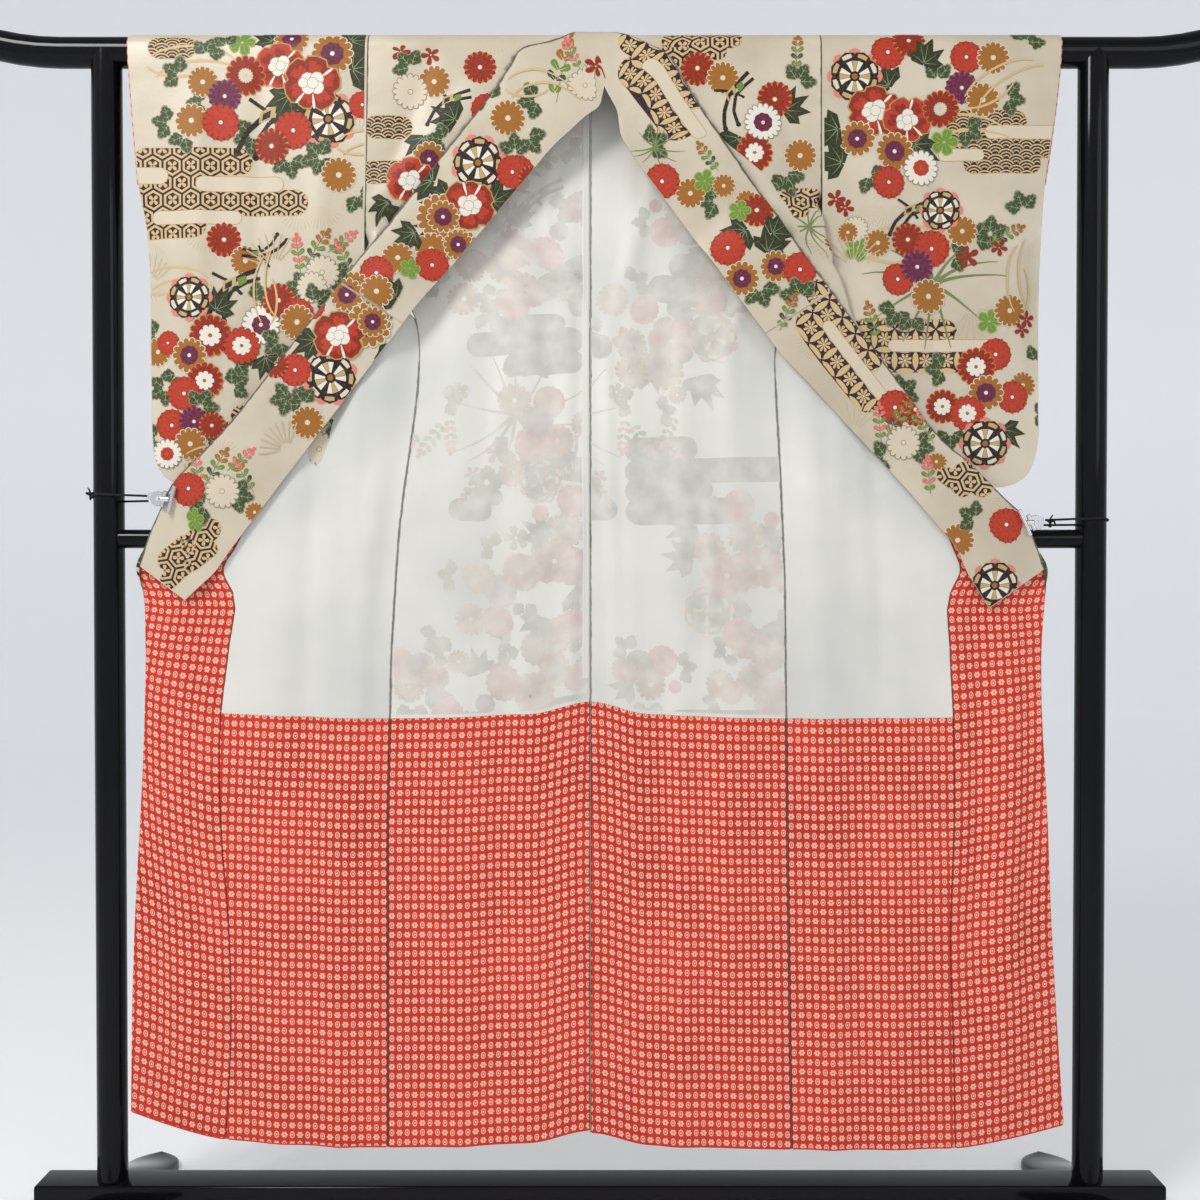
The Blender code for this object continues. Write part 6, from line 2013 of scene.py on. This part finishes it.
def make_cloths():
    """All pieces of cloth by name, with the rows where the lining changes."""
    found, rows_at = {}, {}
    for side, word in SIDES:
        rows = body_rows(side)
        split = rows.index(("front", OKUMI_TOP_Z[side])) * ROW_FINE
        fine = finer(body_grid(side, rows), ROW_FINE)
        # painted shade in the seam grooves along every edge
        shade = np.full((len(fine), 2), SEAM_SHADE)
        # painted shadow of the collar's overhang on the front beside it
        shade[top_row(rows):split, 1] = COLLAR_SHADE
        shade[split:, 1] = THIN_SHADE
        found["body_" + word] = Cloth(fine, -side, split, SEAM_COLUMN * FINE, shade)
        rows_at[word] = [rows.index((kind, RED_ROW)) * ROW_FINE for kind in ("back", "front")]
        okumi = okumi_grid(side)
        found["okumi_" + word] = Cloth(finer(okumi, ROW_FINE), -side, shade=(THIN_SHADE, NO_SHADE[1]))
        sleeve = share_grid(sleeve_rows(), SLEEVE_COLUMNS, lambda k, v, s: sleeve_point(side, k, v, s))
        found["sleeve_" + word] = Cloth(finer(sleeve, ROW_FINE), side)
        mouth = [r for r in sleeve_rows() if r[0] == "arc" or r[1] > BAR_Z - SLEEVE_MOUTH + 0.02]
        cuff = share_grid(mouth, 3, lambda k, v, s: cuff_point(side, k, v, s))
        found["cuff_" + word] = Cloth(finer(cuff, ROW_FINE), side)
    collar = collar_grid()
    # painted shade along the collar's own outer edge
    found["collar"] = Cloth(finer(collar, ROW_FINE), -1, shade=(COLLAR_EDGE_SHADE, NO_SHADE[1]))
    ends = [OVER_COLLAR_END[LEFT if row[0][0] < CENTRE_X else RIGHT] for row in collar]
    keep = [i for i, row in enumerate(collar) if row[0][2] > ends[i]]
    rows_at["over"] = (keep[0] * ROW_FINE, keep[-1] * ROW_FINE)
    return found, rows_at


def layer(cloth, name, node, look_name, low, with_pieces=(), trims=(0.0, 0.0), edging=list):
    """A shell that stands for a CAD node, from an offset of the cloth's grid, and the pieces edging() makes
    on it."""
    obj = cloth.shell(name, low, look_name, node, trims)
    width, length, area = cloth.flat()
    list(with_pieces)
    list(edging())


def sink_fronts(side, word, body):
    """The fronts sink beside the collar and swell before it."""
    front = (top_row(body_rows(side)), body.narrow + NECK_REACH)
    flat = Print(body)
    lines = []
    for x0, z0, x1, z1, half, depth in NECK_LINES[word]:
        u0, v0, _ = flat.frame_at(x0, z0, front)
        u1, v1, _ = flat.frame_at(x1, z1, front)
        lines.append((u0, v0, u1, v1, half, depth))
    body.crease(lines, 0.0)


def build_cloth():
    cloths, rows_at = make_cloths()
    for name, rows in CREASES.items():
        cloths[name].crease(rows)
    raise_collar(cloths["collar"])
    for side, word in SIDES:
        sink_fronts(side, word, cloths["body_" + word])
    prints = build_prints(cloths, rows_at)
    line = -SHELL / 2 + LINING_IN
    for _, word in SIDES:
        body, okumi = cloths["body_" + word], cloths["okumi_" + word]
        last = len(body.grid) - 1
        back, front = rows_at[word]
        layer(body, "body_cloth_" + word, "body_" + word, "print_cloth", -SHELL, [prints["body_" + word]])
        layer(body.part(back, front), "lining_cloth_" + word, "lining_" + word, "white_lining", line,
              [prints["shadow_" + word]], (GAP / 2, GAP / 2),
              lambda: line_trims(word, body, rows_at, line))
        for end, rows, hem, gaps in (("back", (0, back), 0, (0.0, GAP / 2)),
                                     ("front", (front, last), last, (GAP / 2, 0.0))):
            layer(body.part(*rows), "skirt_%s_cloth_%s" % (end, word), "skirt_%s_%s" % (end, word),
                  "red_lining", line, (), gaps, lambda: [hem_roll("%s_%s" % (end, word), body, hem)])
        layer(okumi, "okumi_cloth_" + word, "okumi_" + word, "print_cloth", -SHELL,
              [prints["okumi_" + word]])
        layer(okumi, "okumi_lining_cloth_" + word, "okumi_lining_" + word, "red_lining", line,
              edging=lambda: [hem_roll("okumi_" + word, okumi, len(okumi.grid) - 1)])
        layer(cloths["sleeve_" + word], "sleeve_cloth_" + word, "sleeve_" + word, "print_cloth", -SHELL,
              [prints["sleeve_" + word]])
        layer(cloths["cuff_" + word], "cuff_cloth_" + word, "cuff_lining_" + word, "red_lining", line)
    collar = cloths["collar"]
    layer(collar, "collar_cloth", "collar", "print_cloth", -SHELL,
          [prints["collar_left"], prints["collar_right"]])
    layer(collar.part(*rows_at["over"]), "over_collar_cloth", "over_collar", "print_cloth",
          OVER_OUT - SHELL, [prints["over_collar"]])


# Where the fronts sink beside the collar and swell before it: x and z of both ends, half width, depth
NECK_LINES = {
    "left": [(-0.140, 1.610, -0.300, 1.425, 0.010, -0.0075),
             (-0.185, 1.620, -0.318, 1.468, 0.018, 0.0050), (-0.240, 1.680, -0.290, 1.540, 0.016, -0.0035)],
    "right": [(0.155, 1.575, 0.318, 1.356, 0.010, -0.0075), (0.205, 1.570, 0.330, 1.395, 0.018, 0.0050),
              (0.225, 1.690, 0.280, 1.540, 0.016, -0.0035)],
}
SHOW_THROUGH = 0.33
HIDDEN_INKS = ("line", "vein", "faint", "cloth", "cream", "white", "gold", "lime", "straw")


def raise_collar(collar):
    """The collar's rolled outer edge overhangs the fronts; its free edge is a soft fold."""
    share = collar.u / collar.u[:, -1:]
    lift = np.interp(share, [0.0, 0.05, 0.12, 0.5, 0.93, 1.0],
                     [0.0042, 0.0046, 0.0046, 0.0026, 0.0008, 0.0])
    ends = np.clip(np.minimum(collar.v, collar.v[-1] - collar.v) / 0.05, 0.0, 1.0)[:, None]
    ends = ends * np.clip((np.abs(collar.grid[:, :1, 0] - CENTRE_X) - 0.04) / 0.06, 0.0, 1.0)
    past = np.interp(share, [0.0, 0.25], [0.0045, 0.0]) * ends
    lift = lift * (0.4 + 0.6 * ends)
    outward = unit(collar.grid[:, :1] - collar.grid[:, 1:2])
    collar.grid = collar.grid + collar.normal * lift[..., None] + outward * past[..., None]
    collar.measure()


# Where the bolt's repeat starts on each panel, as shares of the repeat, and how far it keeps from the
# front's own print
BOLT_STARTS = {
    "body_back": {LEFT: (0.15, 0.10), RIGHT: (0.62, 0.10)},
    "body_front": {LEFT: (0.40, 0.45), RIGHT: (0.05, 0.45)},
    "okumi": {LEFT: (0.80, 0.70), RIGHT: (0.30, 0.70)}, "sleeve": {LEFT: (0.25, 0.30), RIGHT: (0.75, 0.30)},
}
BACK_REST = 0.06
FRONT_REST = 0.08
# Soft creases on each panel: flat line ends, half width and depth towards the print side, in metres
CREASES = {
    "body_left": [
        (0.262, 0.62, 0.258, 1.46, 0.008, -0.0046), (0.236, 0.80, 0.240, 1.30, 0.013, 0.0046),
        (0.140, 1.235, 0.285, 1.246, 0.012, -0.0043), (0.030, 0.826, 0.262, 0.838, 0.014, -0.0038),
        (0.080, 0.30, 0.070, 0.60, 0.016, -0.0062), (0.160, 0.20, 0.170, 0.75, 0.018, 0.0057),
        (0.120, 0.90, 0.130, 1.18, 0.014, -0.0040), (0.060, 1.30, 0.180, 1.42, 0.016, 0.0046),
        (0.030, 1.98, 0.140, 2.34, 0.014, 0.0039), (0.110, 1.96, 0.060, 2.50, 0.012, -0.0034),
        (0.040, 2.35, 0.050, 2.95, 0.016, -0.0057), (0.130, 2.20, 0.120, 2.80, 0.018, 0.0062),
    ],
    "body_right": [
        (0.246, 0.64, 0.242, 1.44, 0.010, -0.0048), (0.105, 0.70, 0.104, 0.95, 0.009, -0.0052),
        (0.040, 1.232, 0.270, 1.245, 0.012, -0.0043), (0.020, 0.835, 0.240, 0.840, 0.014, -0.0038),
        (0.090, 0.22, 0.100, 0.62, 0.018, -0.0057), (0.180, 0.18, 0.172, 0.70, 0.016, 0.0057),
        (0.160, 0.95, 0.150, 1.25, 0.015, 0.0043), (0.070, 1.02, 0.060, 1.40, 0.013, -0.0043),
        (0.040, 2.02, 0.150, 2.30, 0.014, 0.0039), (0.100, 2.00, 0.070, 2.55, 0.012, -0.0034),
        (0.050, 2.30, 0.045, 2.90, 0.018, -0.0062), (0.130, 2.25, 0.140, 2.75, 0.014, 0.0052),
    ],
    "okumi_left": [(0.035, 0.30, 0.045, 1.05, 0.012, 0.0048), (0.090, 0.45, 0.085, 1.15, 0.014, -0.0040)],
    "okumi_right": [(0.040, 0.35, 0.035, 1.00, 0.014, 0.0044), (0.085, 0.40, 0.095, 1.10, 0.012, -0.0040)],
    "sleeve_left": [
        (0.150, 0.76, 0.158, 1.26, 0.012, -0.0046), (0.240, 0.80, 0.230, 1.20, 0.020, 0.0060),
        (0.060, 0.85, 0.080, 1.28, 0.018, 0.0046), (0.020, 1.00, 0.290, 1.03, 0.013, -0.0033),
        (0.160, 0.05, 0.150, 0.55, 0.016, -0.0049), (0.250, 0.10, 0.240, 0.50, 0.020, 0.0053),
    ],
    "sleeve_right": [
        (0.165, 0.74, 0.160, 1.25, 0.012, -0.0046), (0.080, 0.80, 0.070, 1.22, 0.020, 0.0060),
        (0.260, 0.84, 0.245, 1.28, 0.018, 0.0046), (0.030, 1.02, 0.290, 1.00, 0.013, -0.0033),
        (0.150, 0.08, 0.160, 0.52, 0.016, -0.0049), (0.070, 0.06, 0.080, 0.56, 0.018, 0.0053),
    ],
    "collar": [
        (0.052, 0.05, 0.050, 0.75, 0.026, 0.0037), (0.052, 1.30, 0.054, 1.95, 0.026, 0.0037),
        (0.020, 0.62, 0.080, 0.66, 0.010, -0.0021), (0.030, 1.42, 0.075, 1.45, 0.012, 0.0021),
    ],
}


def build_prints(cloths, rows_at):
    """Printed motifs of every panel, and the back's print faintly on the white lining."""
    made = {}
    shadow = {name: tuple(w * (1 - SHOW_THROUGH * (1 - c)) for w, c in zip(WHITE_LINING, colour))
              for name, colour in INKS.items() if name not in HIDDEN_INKS}

    def ink(name, sheet_print, offset=0.0, rows=None):
        made[name] = sheet_print.build("print_" + name, INKS, offset, 1.0, "printed_ink", "print_cloth",
                                       rows)

    for side, word in SIDES:
        body, okumi, sleeve = [cloths[panel + word] for panel in ("body_", "okumi_", "sleeve_")]
        top = top_row(body_rows(side))
        body_print = Print(body, top)
        put_front(body_print, "body_" + word, (top - ROW_FINE, body.narrow))
        body_print.fill(0.0, body.v[top] - BACK_REST, BOLT_STARTS["body_back"][side])
        body_print.fill(body.v[body.narrow] + FRONT_REST, body.v[-1], BOLT_STARTS["body_front"][side])
        ink("body_" + word, body_print)
        made["shadow_" + word] = body_print.build(
            "print_shadow_" + word, shadow, -SHELL / 2 + LINING_IN, -1.0, "print_shadow", "white_lining",
            (rows_at[word][0], top), 0.2)
        okumi_print = Print(okumi)
        okumi_print.fill(0.0, okumi.v[-1], BOLT_STARTS["okumi"][side])
        ink("okumi_" + word, okumi_print)
        top = top_row(sleeve_rows())
        sleeve_print = Print(sleeve)
        put_front(sleeve_print, "sleeve_" + word, (top - ROW_FINE, len(sleeve.grid)))
        sleeve_print.fill(0.0, sleeve.v[top] - BACK_REST, BOLT_STARTS["sleeve"][side])
        ink("sleeve_" + word, sleeve_print)
    collar = cloths["collar"]
    middle = int(np.argmin(np.abs(collar.grid[:, 0, 0] - CENTRE_X)))
    first, last = rows_at["over"]
    end = len(collar.grid) - 1
    collar_print = Print(collar)
    put_front(collar_print, "collar_left", (0, middle))
    put_front(collar_print, "collar_right", (middle, end + 1))
    ink("collar_left", collar_print, rows=(0, first))
    ink("over_collar", collar_print, OVER_OUT, (first, last))
    ink("collar_right", collar_print, rows=(last, end))
    return made


def put_front(sheet_print, panel, rows):
    for row in FRONT_PRINT[panel]:
        name, x, z, angle, reach = filled(row, 5)
        u, v, turn = sheet_print.frame_at(round(x / 1000, 6), round(z / 1000, 6), rows)
        sheet_print.place(name, u, v, turn, angle, reach)


# Seams and stitches: the boundary's running stitches, the pressed band of the centre seam, the rolled hem
STITCH_SIZES = {"Spacing": 0.006, "Length": 0.0030, "Thread": 0.00035}
STITCH_ROUTE_STEP = 0.008
STITCH_FROM_EDGE = 0.0030
BAND_INSET = 0.0065
BAND_HALF = 0.0052
BAND_PROFILE = ((-1.0, 0.0), (-0.86, 0.0007), (-0.45, 0.0008), (0.0, 0.0004), (0.45, 0.0008),
                (0.86, 0.0007), (1.0, 0.0))
BAND_TOP_ROWS = 8
HEM_STEP = 0.006
HEM_RADIUS = 0.0012
HEM_DROP = 0.0009


def line_trims(word, body, rows_at, line):
    """The centre seam's pressed band, and the running stitches where white lining meets red."""
    back, front = rows_at[word]
    made = []
    top = int(np.argmax(body.grid[:, -1, 2]))
    if word == "left":
        made.append(seam_band("centre_seam_band", body, range(back + 1, top - BAND_TOP_ROWS), line))
    for name, row in (("back", back), ("front", front)):
        route = []
        for u in np.arange(0.006, body.width_at(row) - 0.004, STITCH_ROUTE_STEP):
            here, out = body.at_width(row, float(u))
            above, _ = body.at_width(row + (1 if name == "back" else -1), float(u))
            route.append(here + unit(above - here) * STITCH_FROM_EDGE + out * (line - 0.0002))
        made.append(stitches("boundary_stitches_%s_%s" % (name, word), route))
    return made


def seam_band(name, cloth, rows, line):
    """A flat pressed seam allowance on the lining side, parallel to the panel's last edge."""
    verts = []
    for row in rows:
        wide = cloth.width_at(row)
        for share, height in BAND_PROFILE:
            point, out = cloth.at_width(row, wide - BAND_INSET + share * BAND_HALF)
            verts.append(point + out * (line - height))
    return show(name, verts, ring_faces(len(rows), len(BAND_PROFILE)), "white_lining")


def hem_roll(place, cloth, row):
    """The lining rolled slightly past the hem."""
    line = []
    for u in np.arange(0.002, cloth.width_at(row) - 0.001, HEM_STEP):
        point, out = cloth.at_width(row, float(u))
        line.append(point - out * HEM_DROP)
    return tube("hem_roll_" + place, line, [HEM_RADIUS] * len(line), "red_lining", (), 10)


def make_stitch_tree():
    """Geometry Nodes: short stitches at even spacing along a line."""
    tree = bpy.data.node_groups.new("stitch_row", "GeometryNodeTree")
    for label, kind in (("Geometry", "Geometry"), ("Spacing", "Float"), ("Length", "Float"),
                        ("Thread", "Float"), ("Look", "Material")):
        made = tree.interface.new_socket(label, in_out="INPUT", socket_type="NodeSocket" + kind)
        if label in STITCH_SIZES:
            made.default_value = STITCH_SIZES[label]
    tree.interface.new_socket("Geometry", in_out="OUTPUT", socket_type="NodeSocketGeometry")
    put = tree.nodes.new
    nodes = {"given": put("NodeGroupInput"), "out": put("NodeGroupOutput")}
    for label, kind in (
        ("line", "GeometryNodeMeshToCurve"), ("places", "GeometryNodeCurveToPoints"),
        ("thread", "GeometryNodeMeshCylinder"), ("turn", "FunctionNodeAlignRotationToVector"),
        ("stitch", "GeometryNodeInstanceOnPoints"), ("real", "GeometryNodeRealizeInstances"),
        ("look", "GeometryNodeSetMaterial"),
    ):
        nodes[label] = put(kind)
    nodes["places"].mode = "LENGTH"
    nodes["thread"].inputs["Vertices"].default_value = 6
    nodes["turn"].axis = "Z"
    for source, given, target, taken in (
        ("given", "Geometry", "line", "Mesh"), ("line", "Curve", "places", "Curve"),
        ("given", "Spacing", "places", "Length"), ("given", "Thread", "thread", "Radius"),
        ("given", "Length", "thread", "Depth"), ("places", "Tangent", "turn", "Vector"),
        ("places", "Points", "stitch", "Points"), ("thread", "Mesh", "stitch", "Instance"),
        ("turn", "Rotation", "stitch", "Rotation"), ("stitch", "Instances", "real", "Geometry"),
        ("real", "Geometry", "look", "Geometry"), ("given", "Look", "look", "Material"),
        ("look", "Geometry", "out", "Geometry"),
    ):
        tree.links.new(nodes[source].outputs[given], nodes[target].inputs[taken])
    return tree


def stitches(name, route):
    """A row of short stitches along a route, on the white lining."""
    mesh = bpy.data.meshes.new(name + "_line")
    mesh.from_pydata([tuple(float(c) for c in p) for p in route],
                     [(i, i + 1) for i in range(len(route) - 1)], [])
    line = set_out(name + "_line", mesh)
    change = line.modifiers.new("stitch_row", "NODES")
    change.node_group = STITCH_TREE
    for item in STITCH_TREE.interface.items_tree:
        if item.in_out == "INPUT" and item.name in STITCH_SIZES:
            change[item.identifier] = STITCH_SIZES[item.name]
        if item.in_out == "INPUT" and item.name == "Look":
            change[item.identifier] = LOOKS["pale_thread"]
    bpy.context.view_layer.update()
    made = bpy.data.meshes.new_from_object(line.evaluated_get(bpy.context.evaluated_depsgraph_get()))
    made.name = name
    bpy.data.objects.remove(line)
    obj = set_out(name, made)
    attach(obj, "root")
    return obj


# Studio: pale round floor whose rings curve up into a pale wall far outside every view, and soft lights
FLOOR_RINGS = (3.0, 6.0, 8.0)
COVE_RADIUS = 2.5
WALL_TOP = 9.0
AROUND = 48
PAINT = (0.86, 0.87, 0.885, 1.0)
PAINT_GLOW = (0.96, 0.98, 1.0, 1.0)
GLOW = 0.225
AIR = (0.95, 0.97, 1.0, 1.0)
AIR_LIGHT = 0.32
# Name, place, aim, side, power and colour
LIGHTS = (
    ("key_light", (-1.6, -1.9, 3.0), (0.0, 0.0, 1.0), 0.8, 54.0, (1.0, 0.985, 0.96)),
    ("fill_light", (1.9, -2.3, 1.9), (0.0, 0.0, 0.8), 1.2, 8.0, (1.0, 1.0, 1.0)),
)


def place_lights():
    for name, place, aim, side, power, colour in LIGHTS:
        data = bpy.data.lights.new(name, "AREA")
        data.shape = "RECTANGLE"
        data.size, data.size_y = side, side
        data.energy = power
        data.color = colour
        obj = set_out(name, data)
        obj.location = place
        obj.rotation_euler = (Vector(aim) - Vector(place)).to_track_quat("-Z", "Y").to_euler()


def build_studio():
    rim = FLOOR_RINGS[-1]
    profile = [(r, 0.0) for r in FLOOR_RINGS]
    profile += [(rim + COVE_RADIUS * math.sin(a), COVE_RADIUS - COVE_RADIUS * math.cos(a))
                for a in np.linspace(0.1, math.pi / 2, 10)]
    profile += [(rim + COVE_RADIUS, WALL_TOP)]
    verts = [(r * math.cos(2 * math.pi * k / AROUND), r * math.sin(2 * math.pi * k / AROUND), z)
             for r, z in profile for k in range(AROUND)]
    faces = [(b, a, d, c) for a, b, c, d in ring_faces(len(profile), AROUND, False)]
    mesh = bpy.data.meshes.new("studio_floor")
    mesh.from_pydata(verts, [], faces + [tuple(range(AROUND))])
    mesh.polygons.foreach_set("use_smooth", [True] * len(mesh.polygons))
    set_out("studio_floor", mesh)
    material, _, shader = new_material("studio_paint")
    set_values(shader, Base_Color=PAINT, Roughness=0.9, Emission_Color=PAINT_GLOW, Emission_Strength=GLOW)
    mesh.materials.append(material)
    world = bpy.data.worlds.new("studio_air")
    world.use_nodes = True
    set_values(world.node_tree.nodes["Background"], Color=AIR, Strength=AIR_LIGHT)
    bpy.context.scene.world = world
    place_lights()
    bpy.context.scene.view_settings.view_transform = "Standard"


place_camera()
LOOKS = make_looks()
build_cords()
STITCH_TREE = make_stitch_tree()
build_rack()
for side_of, side_word in SIDES:
    build_clip(side_of, side_word)
build_cloth()
build_studio()
